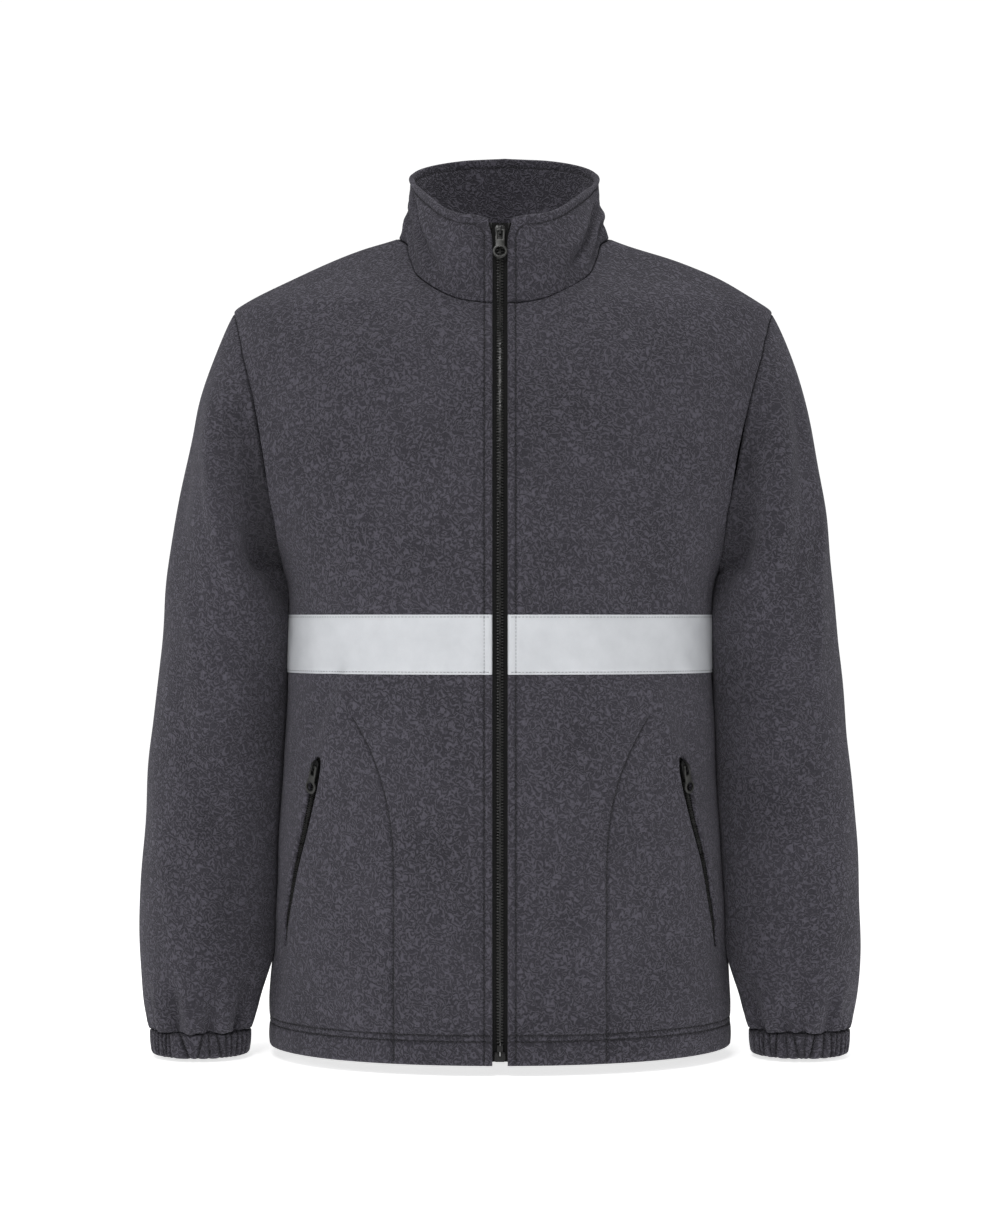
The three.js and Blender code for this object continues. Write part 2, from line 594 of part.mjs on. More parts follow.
// The collar: one strip of doubled cloth from zip to zip, thinner at its two ends and rolled over at the top.
const COLLAR_UPS = [0, 0.3, 0.62, 0.9, 1];
function collarRows() {
  const neckFrontAngle = zipEdge(NECK_FRONT_Z);
  const angles = [
    ...steps(FRONT_NECK_STEPS).map((u) => mix(neckFrontAngle, 90, u)),
    ...steps(BACK_NECK_STEPS).slice(1).map((u) => mix(90, 180, u)),
  ];
  const strip = (side, up) =>
    angles.map((angle, i) => {
      const spread = (ZIP_SPREAD / 2 / 78) * (180 / Math.PI);
      const open = mix(neckFrontAngle, spread, ease((up - 0.72) / 0.28));
      const turned = angle < 90 ? mix(open, 90, i / FRONT_NECK_STEPS) : angle;
      const outer = collarPoint(side, up === 0 ? angle : turned, up);
      const lean = up === 0 ? neckLean(side, angle) : collarNormal(side, turned, up);
      const full = mix(FLEECE, DOUBLE_FLEECE, ease((i - 1) / 2));
      if (up < 1) return behind(outer, lean, full);
      outer.addScaledVector(lean, -0.3 * full);
      return behind(outer, lean, 0.45 * full);
    });
  const rows = COLLAR_UPS.map((up) => [
    ...strip(-1, up),
    ...strip(1, up).slice(0, -1).reverse(),
  ]);
  const last = rows[0].length - 1;
  stepBackRow(rows, 0, 0, FRONT_NECK_STEPS);
  stepBackRow(rows, 0, FRONT_NECK_STEPS, last - FRONT_NECK_STEPS);
  stepBackRow(rows, 0, last - FRONT_NECK_STEPS, last);
  return rows;
}

// What lies on a panel is made from the panel's own points: between its rows and columns, at a depth behind its face.
function onRows(rows, row, column, depth) {
  const r = Math.min(Math.floor(row), rows.length - 2);
  const c = Math.min(Math.floor(column), rows[0].length - 2);
  const [up, over] = [row - r, column - c];
  // Each cell is two flat triangles, parted from its low corner to the corner across.
  const turn = over > up ? [r, c + 1] : [r + 1, c];
  const [small, large] = [Math.min(up, over), Math.max(up, over)];
  const face = (which) =>
    rows[r][c][which]
      .clone()
      .multiplyScalar(1 - large)
      .addScaledVector(rows[turn[0]][turn[1]][which], large - small)
      .addScaledVector(rows[r + 1][c + 1][which], small);
  const outer = face("outer");
  const inward = face("inner").sub(outer).normalize();
  return outer.addScaledVector(inward, depth);
}
const rowAt = (lowRows, z) => {
  let r = 0;
  while (r < lowRows.length - 2 && lowRows[r + 1] <= z) r++;
  return r + (z - lowRows[r]) / (lowRows[r + 1] - lowRows[r]);
};
const lowRow = (z) => rowAt(LOW_ROWS, z);
const frontColumn = (z, angle) =>
  ((angle - zipEdge(z)) / (90 - zipEdge(z))) * (FRONT_NECK_STEPS + SHOULDER_STEPS);

// A flat piece on a panel between two depths, from a list of rows of [row, column] places.
const layerOn = (rows, places, depth, thickness) =>
  places.map((line) =>
    line.map(([row, column]) => ({
      outer: onRows(rows, row, column, depth),
      inner: onRows(rows, row, column, depth + thickness),
    })),
  );

function bandRows(rows, lowRows) {
  const places = [BAND_BOTTOM_Z, BAND_BOTTOM_Z + BAND_WIDTH / 2, BAND_TOP_Z].map((z) =>
    rows[0].map((_, column) => [rowAt(lowRows, z), column]),
  );
  return layerOn(rows, places, -SEAM_GAP - BAND_THICKNESS, BAND_THICKNESS);
}

// The pocket zip's line on a front: height and angle of its two ends, and what shows of it.
const POCKET = { topZ: -452, topAngle: 58.9, bottomZ: -616, bottomAngle: 73.2, opening: 8 };
const POCKET_TAPE = 20;
const POCKET_TAPE_DEPTH = FLEECE + 0.95;
const POCKET_STEPS = 10;

// A strip along the pocket zip: width across, starting and ending past the ends of the opening.
function pocketStrip(rows, width, past, depth, thickness, from = 0, to = 1) {
  const radius = 165;
  const places = steps(POCKET_STEPS).map((t) => {
    const run = mix(from, to, t) + (past / 170) * (2 * t - 1);
    const z = mix(POCKET.topZ, POCKET.bottomZ, run);
    const angle = mix(POCKET.topAngle, POCKET.bottomAngle, run);
    const half = ((width / 2 / radius) * 180) / Math.PI;
    return [-1, 0, 1].map((k) => [lowRow(z), frontColumn(z, angle + k * half)]);
  });
  return layerOn(rows, places, depth, thickness);
}

// The pocket bag's stitched edge on the front: nearly upright above the hem, then curving out to the side.
const bagEdge = (z) => 89 + 38 * Math.max(0, (z + 560) / 146) ** 2.5;
function pocketBagRows(rows) {
  const depth = POCKET_TAPE_DEPTH + TAPE_THICKNESS + 0.8;
  const places = [-676, -650, -612, -572, -532, -496, -462, -442, -424].map((z) => {
    const radius = reachAt(z, 45);
    const start = (Math.asin(Math.min(0.95, bagEdge(z) / radius)) * 180) / Math.PI;
    return steps(6).map((u) => [lowRow(z), frontColumn(z, mix(start, 87, u))]);
  });
  return layerOn(rows, places, depth, 1.6);
}

// Joins and cuts with manifold-3d.
function solid(geometry) {
  const bare = geometry.index ? geometry.toNonIndexed() : geometry.clone();
  bare.deleteAttribute("normal");
  bare.deleteAttribute("uv");
  const merged = mergeVertices(bare, 1e-4);
  return new wasm.Manifold(
    new wasm.Mesh({
      numProp: 3,
      vertProperties: merged.attributes.position.array,
      triVerts: new Uint32Array(merged.index.array),
    }),
  );
}
function geometryOf(made) {
  const mesh = made.getMesh();
  const geometry = new THREE.BufferGeometry();
  geometry.setAttribute("position", new THREE.BufferAttribute(mesh.vertProperties, 3));
  return geometry.setIndex(new THREE.BufferAttribute(mesh.triVerts, 1));
}

const jacket = new THREE.Group();
const finishes = {
  fleece: new THREE.MeshStandardMaterial({ color: 0x47454c, roughness: 1, metalness: 0 }),
  reflective: new THREE.MeshStandardMaterial({ color: 0xd3d6da, roughness: 0.45, metalness: 0.1 }),
  tape: new THREE.MeshStandardMaterial({ color: 0x151515, roughness: 0.9, metalness: 0 }),
  teeth: new THREE.MeshStandardMaterial({ color: 0x1c1c1b, roughness: 0.4, metalness: 0 }),
  hardware: new THREE.MeshStandardMaterial({ color: 0x3a3a38, roughness: 0.35, metalness: 0.8 }),
};
function add(name, geometry, finish, parent = jacket) {
  const mesh = new THREE.Mesh(geometry, finishes[finish]);
  mesh.name = name;
  parent.add(mesh);
  return mesh;
}

const sides = [
  { side: -1, word: "right" },
  { side: 1, word: "left" },
];
for (const { side, word } of sides) {
  const rows = frontRows(side);
  const slot = wall(pocketStrip(rows, POCKET.opening, 0, -6, 18));
  add(`front_${word}`, geometryOf(solid(wall(rows)).subtract(solid(slot))), "fleece");
  add(`band_front_${word}`, wall(bandRows(rows, LOW_ROWS)), "reflective");
  add(`pocket_bag_${word}`, wall(pocketBagRows(rows)), "fleece");
  add(
    `pocket_tape_${word}`,
    wall(pocketStrip(rows, POCKET_TAPE, 7, POCKET_TAPE_DEPTH, TAPE_THICKNESS)),
    "tape",
  );
  const chainDepth = POCKET_TAPE_DEPTH - SEAM_GAP - CHAIN_THICKNESS;
  add(
    `pocket_chain_${word}`,
    wall(pocketStrip(rows, 4.6, -1.5, chainDepth, CHAIN_THICKNESS, 0.118, 1)),
    "teeth",
  );
  add(`sleeve_${word}`, wall(sleeveRows(side), true), "fleece");
  add(`cuff_${word}`, wall(cuffRows(side), true), "fleece");
}
const back = backRows();
add("back", wall(back), "fleece");
add("band_back", wall(bandRows(back, BACK_LOW_ROWS)), "reflective");
add("collar", wall(collarRows()), "fleece");

// The centre line of the front zip: how far forward the front's outer face is at a height.
const NECK_BASE_Y = neckPoint(1, 0).y;
function zipY(z) {
  if (z < NECK_FRONT_Z) return bodyPoint(1, z, 0).y;
  const up = (z - NECK_FRONT_Z) / (COLLAR_TOP[0].z - NECK_FRONT_Z);
  return mix(NECK_BASE_Y, -COLLAR_TOP[0].radius, up) - 2.5 * Math.sin(Math.PI * clamp01(up));
}

// A strip along the zip at a depth behind the tape's face, from one side x to another.
function zipStrip(heights, xs, depth, thickness) {
  return heights.map((z) =>
    xs.map((x) => {
      const slope = (zipY(z + 1) - zipY(z - 1)) / 2;
      const inward = new THREE.Vector3(0, 1, -slope).normalize();
      const outer = new THREE.Vector3(x, zipY(z), z).addScaledVector(inward, tapeDepth(z) + depth);
      return { outer, inner: outer.clone().addScaledVector(inward, thickness) };
    }),
  );
}
const SLIDER_BOTTOM_Z = -15;
const tapeHeights = [
  -704,
  ...LOW_ROWS.slice(2),
  ...steps(HIGH_STEPS).slice(1).map((s) => mix(UNDERARM_Z, NECK_FRONT_Z, s)),
  ...COLLAR_UPS.slice(1, 4).map((up) => mix(NECK_FRONT_Z, COLLAR_TOP[0].z, up)),
  4,
];
const chainHeights = [
  -695.2,
  ...tapeHeights.filter((z) => z > -695 && z < SLIDER_BOTTOM_Z - 1),
  SLIDER_BOTTOM_Z - 0.4,
];
const tapeDepth = (z) => mix(DOUBLE_FLEECE, FLEECE, ease((z + 684) / 30)) + 0.8;
for (const { side, word } of sides)
  add(
    `zip_tape_${word}`,
    wall(zipStrip(tapeHeights, [0.2 * side, TAPE_REACH * side], 0, TAPE_THICKNESS)),
    "tape",
  );
add(
  "zip_chain",
  wall(zipStrip(chainHeights, [-CHAIN_WIDTH / 2, CHAIN_WIDTH / 2], -SEAM_GAP - CHAIN_THICKNESS, CHAIN_THICKNESS)),
  "teeth",
);

// Zip hardware, drawn in its own frame: +Z up the zip, -Y away from the cloth, zero at the pull's hinge.
const PULL = { barThick: 1.5, length: 24.5, thickness: 1.5, prongSpan: 8.8, waist: 8.2, ring: 12.2 };
const BRIDGE_WIDTH = 2;
const PLATE_OFFSET = 1.4; // from the hinge back to the slider's front face

function extrudeBack(shape, depth, start) {
  const geometry = new THREE.ExtrudeGeometry(shape, { depth, bevelEnabled: false, curveSegments: 6 });
  return geometry.rotateX(Math.PI / 2).translate(0, start + depth, 0);
}
function sliderGeometry(depth, width) {
  const body = new THREE.Shape();
  const half = width / 2;
  body.moveTo(-0.74 * half, -11);
  body.lineTo(0.74 * half, -11);
  body.lineTo(0.85 * half, -4);
  body.lineTo(half, 2.5);
  body.lineTo(0.7 * half, 5);
  body.lineTo(-0.7 * half, 5);
  body.lineTo(-half, 2.5);
  body.lineTo(-0.85 * half, -4);
  body.closePath();
  const block = extrudeBack(body, depth, PLATE_OFFSET);
  const arch = new THREE.Shape();
  arch.moveTo(PLATE_OFFSET + 0.5, -4.4);
  arch.lineTo(-1.2, -3.6);
  arch.lineTo(-2.6, -1.6);
  arch.lineTo(-2.6, 1.6);
  arch.lineTo(-1.2, 3.4);
  arch.lineTo(PLATE_OFFSET + 0.5, 4);
  arch.closePath();
  const tunnel = new THREE.Path();
  tunnel.moveTo(PLATE_OFFSET, -2);
  tunnel.lineTo(PLATE_OFFSET, 2);
  tunnel.lineTo(-0.9, 1.7);
  tunnel.lineTo(-1.5, 0.8);
  tunnel.lineTo(-1.5, -0.8);
  tunnel.lineTo(-0.9, -1.7);
  tunnel.closePath();
  arch.holes.push(tunnel);
  const bridge = new THREE.ExtrudeGeometry(arch, { depth: BRIDGE_WIDTH, bevelEnabled: false });
  bridge.rotateY(Math.PI / 2).rotateX(Math.PI / 2);
  return geometryOf(solid(block).add(solid(placeBridge(bridge))));
}
// The arch is drawn in depth and height, so its axes are put in place point by point.
function placeBridge(geometry) {
  const position = geometry.attributes.position;
  geometry.rotateX(-Math.PI / 2).rotateY(-Math.PI / 2);
  for (let i = 0; i < position.count; i++) {
    const [depth, height, across] = [position.getX(i), position.getY(i), position.getZ(i)];
    position.setXYZ(i, across - BRIDGE_WIDTH / 2, depth, height);
  }
  return geometry;
}
function pullGeometry() {
  const { length, prongSpan, waist, ring, barThick, thickness } = PULL;
  const outline = new THREE.Shape();
  const top = barThick / 2;
  const ringZ = -length + ring / 2;
  outline.moveTo(-prongSpan / 2, top - 1);
  outline.lineTo(-prongSpan / 2 + 1, top);
  outline.lineTo(prongSpan / 2 - 1, top);
  outline.lineTo(prongSpan / 2, top - 1);
  outline.lineTo(waist / 2, -9);
  outline.absarc(0, ringZ, ring / 2, degrees(50), degrees(-230), true);
  outline.lineTo(-waist / 2, -9);
  outline.closePath();
  const window = new THREE.Path();
  window.moveTo(-2.2, -barThick / 2);
  window.lineTo(-2.2, -7);
  window.lineTo(-1.4, -8);
  window.lineTo(1.4, -8);
  window.lineTo(2.2, -7);
  window.lineTo(2.2, -barThick / 2);
  window.closePath();
  const round = (i) => degrees(15 + 30 * i);
  const eye = new THREE.Path(
    Array.from(
      { length: 12 },
      (_, i) => new THREE.Vector2(4.4 * Math.cos(round(i)), ringZ + 3.7 * Math.sin(round(i))),
    ),
  );
  outline.holes.push(window, eye);
  return extrudeBack(outline, thickness, -thickness / 2);
}

// One slider with its pull, in a group whose matrix puts the hinge on the zip.
function addSlider(name, hinge, up, outward, depth, width) {
  const frame = new THREE.Group();
  const backward = outward.clone().negate().normalize();
  const across = backward.clone().cross(up).normalize();
  const upright = across.clone().cross(backward).normalize();
  frame.matrixAutoUpdate = false;
  frame.matrix.makeBasis(across, backward, upright).setPosition(hinge);
  add(`${name}_slider`, sliderGeometry(depth, width), "hardware", frame);
  add(`${name}_pull`, pullGeometry(), "hardware", frame);
  jacket.add(frame);
  return { across, hinge };
}

const HINGE_Z = -4;
const proud = 2.9; // the hinge's height above the cloth's face
{
  const slope = (zipY(HINGE_Z + 4) - zipY(HINGE_Z - 18)) / 22;
  const up = new THREE.Vector3(0, slope, 1).normalize();
  const outward = new THREE.Vector3(0, -1, slope).normalize();
  const hinge = new THREE.Vector3(0, zipY(HINGE_Z), HINGE_Z).addScaledVector(outward, proud);
  addSlider("zip", hinge, up, outward, proud - PLATE_OFFSET + tapeDepth(HINGE_Z) - 2 * SEAM_GAP, 9.2);
}
for (const { side, word } of sides) {
  const rows = frontRows(side);
  const place = (run, depth) => {
    const z = mix(POCKET.topZ, POCKET.bottomZ, run);
    const angle = mix(POCKET.topAngle, POCKET.bottomAngle, run);
    return onRows(rows, lowRow(z), frontColumn(z, angle), depth);
  };
  const hingeRun = 0.045;
  const up = place(0.02, 0).sub(place(0.14, 0)).normalize();
  const outward = place(hingeRun, -1).sub(place(hingeRun, 0)).normalize();
  const depth = proud - PLATE_OFFSET + POCKET_TAPE_DEPTH - 3 * SEAM_GAP;
  addSlider(`pocket_${word}`, place(hingeRun, -proud), up, outward, depth, 7.2);
}

// A stop on each tape's top end, and the retainer box at the bottom of the front zip.
for (const { side, word } of sides) {
  const stop = new THREE.BoxGeometry(1.8, 1.8, 4.5);
  stop.translate(7.5 * side, zipY(1) + tapeDepth(1) - SEAM_GAP - 0.9, 1);
  add(`zip_stop_${word}`, stop, "hardware");
}
const box = new THREE.BoxGeometry(9.4, 2.2, 8);
box.translate(0, zipY(-699) + tapeDepth(-699) - SEAM_GAP - 1.1, -699.5);
add("zip_retainer", box, "hardware");

export default jacket;
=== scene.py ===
import math

import bmesh
import bpy
import numpy as np
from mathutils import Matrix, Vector


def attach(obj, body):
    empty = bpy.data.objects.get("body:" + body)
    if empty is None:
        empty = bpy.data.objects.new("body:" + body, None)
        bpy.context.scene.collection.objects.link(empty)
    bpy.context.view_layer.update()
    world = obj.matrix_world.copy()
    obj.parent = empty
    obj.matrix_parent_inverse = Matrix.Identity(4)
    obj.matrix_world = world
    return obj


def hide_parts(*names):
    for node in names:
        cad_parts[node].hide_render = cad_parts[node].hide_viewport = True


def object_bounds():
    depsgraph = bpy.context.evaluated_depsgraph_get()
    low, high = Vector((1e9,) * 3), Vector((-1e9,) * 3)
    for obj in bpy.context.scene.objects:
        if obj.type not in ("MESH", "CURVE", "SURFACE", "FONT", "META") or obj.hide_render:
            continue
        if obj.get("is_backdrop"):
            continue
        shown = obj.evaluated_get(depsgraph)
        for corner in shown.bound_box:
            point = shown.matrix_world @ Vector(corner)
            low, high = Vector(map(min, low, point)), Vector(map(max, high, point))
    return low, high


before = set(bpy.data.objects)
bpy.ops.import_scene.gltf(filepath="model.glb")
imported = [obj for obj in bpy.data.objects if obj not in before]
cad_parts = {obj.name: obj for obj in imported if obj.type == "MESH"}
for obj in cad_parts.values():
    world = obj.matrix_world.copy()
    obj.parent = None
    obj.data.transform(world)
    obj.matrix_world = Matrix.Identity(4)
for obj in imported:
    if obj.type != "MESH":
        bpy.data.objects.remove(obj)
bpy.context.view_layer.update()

# The camera stands level with the middle of the jacket, two and a half metres off,
# as the photograph's does. The photograph's frame is 1000 wide and 1231 high.
CAMERA_DISTANCE = 2.5
CAMERA_HEIGHT = -0.332
camera_data = bpy.data.cameras.new("camera")
camera_data.lens = 83.08
camera_data.sensor_width = 36
camera = bpy.data.objects.new("camera", camera_data)
camera.location = (0, -CAMERA_DISTANCE, CAMERA_HEIGHT)
camera.rotation_euler = (math.radians(90), 0, 0)
bpy.context.scene.collection.objects.link(camera)
bpy.context.scene.camera = camera

# The studio: a wide white floor under a white surround, one broad lamp above the camera,
# a weaker one at each side and one overhead. The surround is dimmer for the jacket than for the eye.
FLOOR_Z = -0.7165
FLOOR_REACH = 3.2
SURROUND_LIGHT = 0.24
SURROUND_SEEN = 1.05


def add_node(tree, kind, sockets=None, **settings):
    made = tree.nodes.new("ShaderNode" + kind)
    for name, value in settings.items():
        setattr(made, name, value)
    for socket, value in (sockets or {}).items():
        if isinstance(value, bpy.types.NodeSocket):
            tree.links.new(value, made.inputs[socket])
        else:
            made.inputs[socket].default_value = value
    return made


floor_form = bmesh.new()
corners = [(-1, -1), (1, -1), (1, 1), (-1, 1)]
floor_form.faces.new([floor_form.verts.new((FLOOR_REACH * x, FLOOR_REACH * y, FLOOR_Z)) for x, y in corners])
floor_mesh = bpy.data.meshes.new("floor")
floor_form.to_mesh(floor_mesh)
floor_form.free()
floor = bpy.data.objects.new("floor", floor_mesh)
bpy.context.scene.collection.objects.link(floor)
floor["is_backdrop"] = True

floor_paint = bpy.data.materials.new("floor_paint")
floor_paint.use_nodes = True
paint = floor_paint.node_tree.nodes["Principled BSDF"]
paint.inputs["Base Color"].default_value = (0.92, 0.92, 0.92, 1)
paint.inputs["Roughness"].default_value = 0.9
paint.inputs["Specular IOR Level"].default_value = 0.1
paint.inputs["Emission Color"].default_value = (1, 1, 1, 1)
paint.inputs["Emission Strength"].default_value = 0.72
floor.data.materials.append(floor_paint)

world = bpy.data.worlds.new("surround")
world.use_nodes = True
world.node_tree.nodes["Background"].inputs["Color"].default_value = (1, 1, 1, 1)
seen = add_node(world.node_tree, "LightPath").outputs["Is Camera Ray"]
strength = add_node(
    world.node_tree, "MapRange", {"Value": seen, "To Min": SURROUND_LIGHT, "To Max": SURROUND_SEEN}
)
world.node_tree.links.new(strength.outputs["Result"], world.node_tree.nodes["Background"].inputs["Strength"])
bpy.context.scene.world = world
bpy.context.scene.view_settings.view_transform = "Standard"

LAMPS = [
    # name, place, aim, size, watts
    ("lamp_front", (-0.45, -2.3, 1.5), (0, 0, -0.35), 0.9, 36),
    ("lamp_left", (-2.6, -1.3, 0.7), (0, 0, -0.35), 1.0, 12.5),
    ("lamp_right", (2.7, -1.1, 0.6), (0, 0, -0.35), 1.0, 7.5),
    ("lamp_above", (0.2, 0.3, 2.4), (0, 0, -0.3), 1.5, 30),
]
for name, place, aim, size, watts in LAMPS:
    lamp_data = bpy.data.lights.new(name, "AREA")
    lamp_data.shape = "DISK"
    lamp_data.size = size
    lamp_data.energy = watts
    lamp = bpy.data.objects.new(name, lamp_data)
    lamp.location = place
    lamp.rotation_euler = (Vector(aim) - Vector(place)).to_track_quat("-Z", "Y").to_euler()
    bpy.context.scene.collection.objects.link(lamp)

# The fronts: each is one layer of charcoal fleece from shoulder seam to hem, with the seams turned inwards.
# The hem is turned up and stitched twice, the zip edge is folded and stitched, a slit holds the pocket zip.
# Lengths are millimetres until cloth() makes the mesh; an angle is 0 at the centre front, 90 at the side.
FLEECE = 2.4
DOUBLE_FLEECE = 4.6
SEAM_GAP = 0.3
HEM_Z = -707
HEM_STITCH_Z = (-686.5, -681.5)
UNDERARM_Z = -300
SHOULDER_TIP_Z = -66
NECK_FRONT_Z = -65
BAND_Z = (-381.3, -331.3)
ZIP_OPENING = 12.8
ZIP_STITCH_X = 13.2
BODY = np.array([
    # height, half width, front, back, squareness
    (-707, 201, 139, 129, 2.15), (-660, 202.5, 140, 128, 2.2), (-620, 200, 139, 125, 2.3),
    (-560, 195.5, 137.5, 120, 2.4), (-480, 190.5, 136, 117, 2.4), (-400, 186.8, 135, 118, 2.4),
    (-330, 185.4, 133, 122, 2.4), (-300, 188, 131, 124, 2.35), (-260, 207, 128, 127, 2.3),
    (-215, 227, 123, 128, 2.25), (-170, 239, 116, 126, 2.2), (-130, 243, 107, 119, 2.15),
    (-100, 243, 98, 112, 2.1), (-66, 237, 80, 102, 2), (-58, 227, 74, 100, 2), (-43, 200, 58, 94, 2),
    (-27, 167, 40, 86, 2), (-11, 126, 24, 77, 2), (0, 93, 14, 70, 2), (14, 62, 6, 60, 2),
])
NECK_SEAM = np.array([
    # angle, height
    (0, -65), (15, -64), (30, -59), (55, -40), (70, -22), (82, -6),
    (90, 0), (110, 3.5), (135, 8), (160, 10), (180, 10.5),
])
FRONT_FOLDS = [
    # side, x, height, to x, to height, width, rise
    (-1, 130, -386, 150, -452, 9, 3), (-1, 143, -392, 166, -446, 9, -3), (-1, 190, -612, 193, -652, 7, -3),
    (1, 131, -400, 147, -450, 9, 3), (1, 152, -392, 162, -440, 9, -2.5), (1, 190, -614, 195, -650, 7, -2.5),
]
BODY_CREASES = [
    # side, on the back, x, height, to x, to height, width, rise
    (-1, 0, 168, -232, 118, -176, 13, -1.5), (-1, 0, 176, -262, 132, -236, 11, 1.2),
    (1, 0, 172, -236, 126, -182, 13, -1.4), (1, 0, 178, -266, 140, -246, 10, 1.1),
    (-1, 0, 60, -500, 52, -660, 20, 1.2), (-1, 0, 128, -520, 140, -668, 18, -1.3),
    (1, 0, 66, -470, 74, -650, 20, 1.2), (1, 0, 120, -500, 132, -664, 18, -1.2),
    (-1, 0, 40, -96, 96, -150, 16, -1.0), (1, 0, 44, -98, 92, -142, 16, -1.0),
    (-1, 1, 170, -262, 104, -196, 14, -2.4), (-1, 1, 182, -292, 120, -262, 12, 1.8),
    (1, 1, 168, -256, 98, -206, 14, -2.3), (1, 1, 180, -298, 126, -258, 12, 1.7),
    (-1, 1, 52, -420, 120, -452, 15, -1.8), (1, 1, 44, -436, 128, -424, 15, -1.7),
    (-1, 1, 70, -500, 82, -676, 20, 2.0), (-1, 1, 118, -520, 124, -680, 18, -1.8),
    (1, 1, 62, -480, 58, -668, 20, 2.0), (1, 1, 110, -510, 122, -674, 18, -1.8),
]
SWELLS = [
    # height, waves along x, y and z, phase: the slow unevenness of cloth that hangs
    (0.50, (0.041, 0.013, 0.019), 0.4), (0.42, (-0.026, 0.031, 0.046), 2.1),
    (0.34, (0.067, -0.022, 0.031), 4.0), (0.26, (0.020, 0.055, -0.083), 1.2),
    (0.20, (-0.104, 0.018, 0.052), 5.3),
]


def along(table, at, column):
    """A smooth curve through one column of a table that is sorted by its first."""
    keys, values = table[:, 0], table[:, column]
    before = np.maximum(np.arange(len(keys)) - 1, 0)
    after = np.minimum(np.arange(len(keys)) + 1, len(keys) - 1)
    slopes = (values[after] - values[before]) / (keys[after] - keys[before])
    sense = np.sign(keys[-1] - keys[0])
    i = np.searchsorted(sense * keys[1:-1], sense * np.asarray(at, float))
    span = keys[i + 1] - keys[i]
    t = np.clip((at - keys[i]) / span, 0, 1)
    rise = values[i + 1] - values[i]
    start, end = slopes[i] * span, slopes[i + 1] * span
    return values[i] + start * t + (3 * rise - 2 * start - end) * t**2 + (start + end - 2 * rise) * t**3


def mix(a, b, t):
    return a + (b - a) * t


def ease(t):
    t = np.clip(t, 0, 1)
    return t * t * (3 - 2 * t)


def unit(vectors):
    return vectors / np.linalg.norm(vectors, axis=-1, keepdims=True)


def fold_rise(x, y, start_x, start_y, end_x, end_y, width, height):
    """The rise of a fold at points of a plane: full along its line, rounded off at both ends."""
    length = math.hypot(end_x - start_x, end_y - start_y)
    along_x, along_y = (end_x - start_x) / length, (end_y - start_y) / length
    run = (x - start_x) * along_x + (y - start_y) * along_y
    away = (x - start_x) * along_y - (y - start_y) * along_x
    past = np.maximum(0, np.maximum(-run, run - length))
    return height * np.exp(-((away / width) ** 2) - (past / (2 * width)) ** 2)


def lean_at(z, angle):
    """The worn jacket leans a little to its own left from the chest up, all but the front zip."""
    return 3.5 * ease((z + 260) / 260) * (1 - np.maximum(0, np.cos(np.radians(angle))) ** 2)


def body_point(side, z, angle):
    z, angle = np.broadcast_arrays(np.asarray(z, float), np.asarray(angle, float))
    half_width, front, back, square = (along(BODY, z, column) for column in (1, 2, 3, 4))
    across, ahead = np.sin(np.radians(angle)), np.cos(np.radians(angle))
    depth = np.where(ahead > 0, front, back)
    radius = (np.abs(across / half_width) ** square + np.abs(ahead / depth) ** square) ** (-1 / square)
    up = (z - HEM_Z) / 21
    rise = np.where(up < 1, 1.4 * np.sin(np.pi * (0.25 + 0.75 * up)), 0)
    for fold_side, x, fold_z, to_x, to_z, width, height in FRONT_FOLDS:
        if fold_side == side:
            rise = rise + (ahead > 0) * fold_rise(radius * across, z, x, fold_z, to_x, to_z, width, height)
    x = side * (radius + rise) * across + lean_at(z, angle)
    return np.stack([x, -(radius + rise) * ahead, z], -1)


def normal_of(point, a, b, step_a, step_b, hint):
    normal = unit(
        np.cross(point(a + step_a, b) - point(a - step_a, b), point(a, b + step_b) - point(a, b - step_b))
    )
    return np.where((normal * hint).sum(-1, keepdims=True) < 0, -normal, normal)


def body_normal(side, z, angle):
    hint = body_point(side, z, angle) * (1, 1, 0) + (0, 0, 20)
    return normal_of(lambda a, b: body_point(side, a, b), z, angle, 0.6, 0.6, hint)


def swell(points):
    """The slow unevenness of the whole jacket's cloth, stilled at the hem, the cuffs and the zip's slider."""
    x, y, z = np.moveaxis(points, -1, 0)
    waves = sum(height * np.sin(points @ np.array(run) + phase) for height, run, phase in SWELLS)
    beside_slider = np.exp(-((x / 30) ** 2)) * ease((z + 60) / 40) * (y < 0)
    beside_pocket = np.exp(-(((np.abs(x) - 158) / 24) ** 2) - ((z + 462) / 28) ** 2) * (y < -40)
    return waves * ease((z - HEM_Z - 4) / 40) * (1 - beside_slider) * (1 - beside_pocket)


def body_rise(side, on_back, points):
    """What the hanging cloth adds to the body's plain form: slow swells and soft creases."""
    rise = swell(points)
    for crease_side, crease_back, x, z, to_x, to_z, width, height in BODY_CREASES:
        if crease_side == side and crease_back == on_back:
            fold = fold_rise(side * points[..., 0], points[..., 2], x, z, to_x, to_z, width, height)
            rise = rise + fold * ease((points[..., 2] - HEM_Z - 4) / 40)
    return rise


def armhole_at(turn, on_back):
    """The armhole seam on the body, from 0 at the shoulder tip round to 180 at the underarm."""
    swing = 17.2 * np.sin(np.radians(turn)) * (1 - 0.3 * np.cos(np.radians(turn)))
    z = (SHOULDER_TIP_Z + UNDERARM_Z) / 2 + (SHOULDER_TIP_Z - UNDERARM_Z) / 2 * np.cos(np.radians(turn))
    return z, np.where(on_back, 90 + swing, 90 - swing)


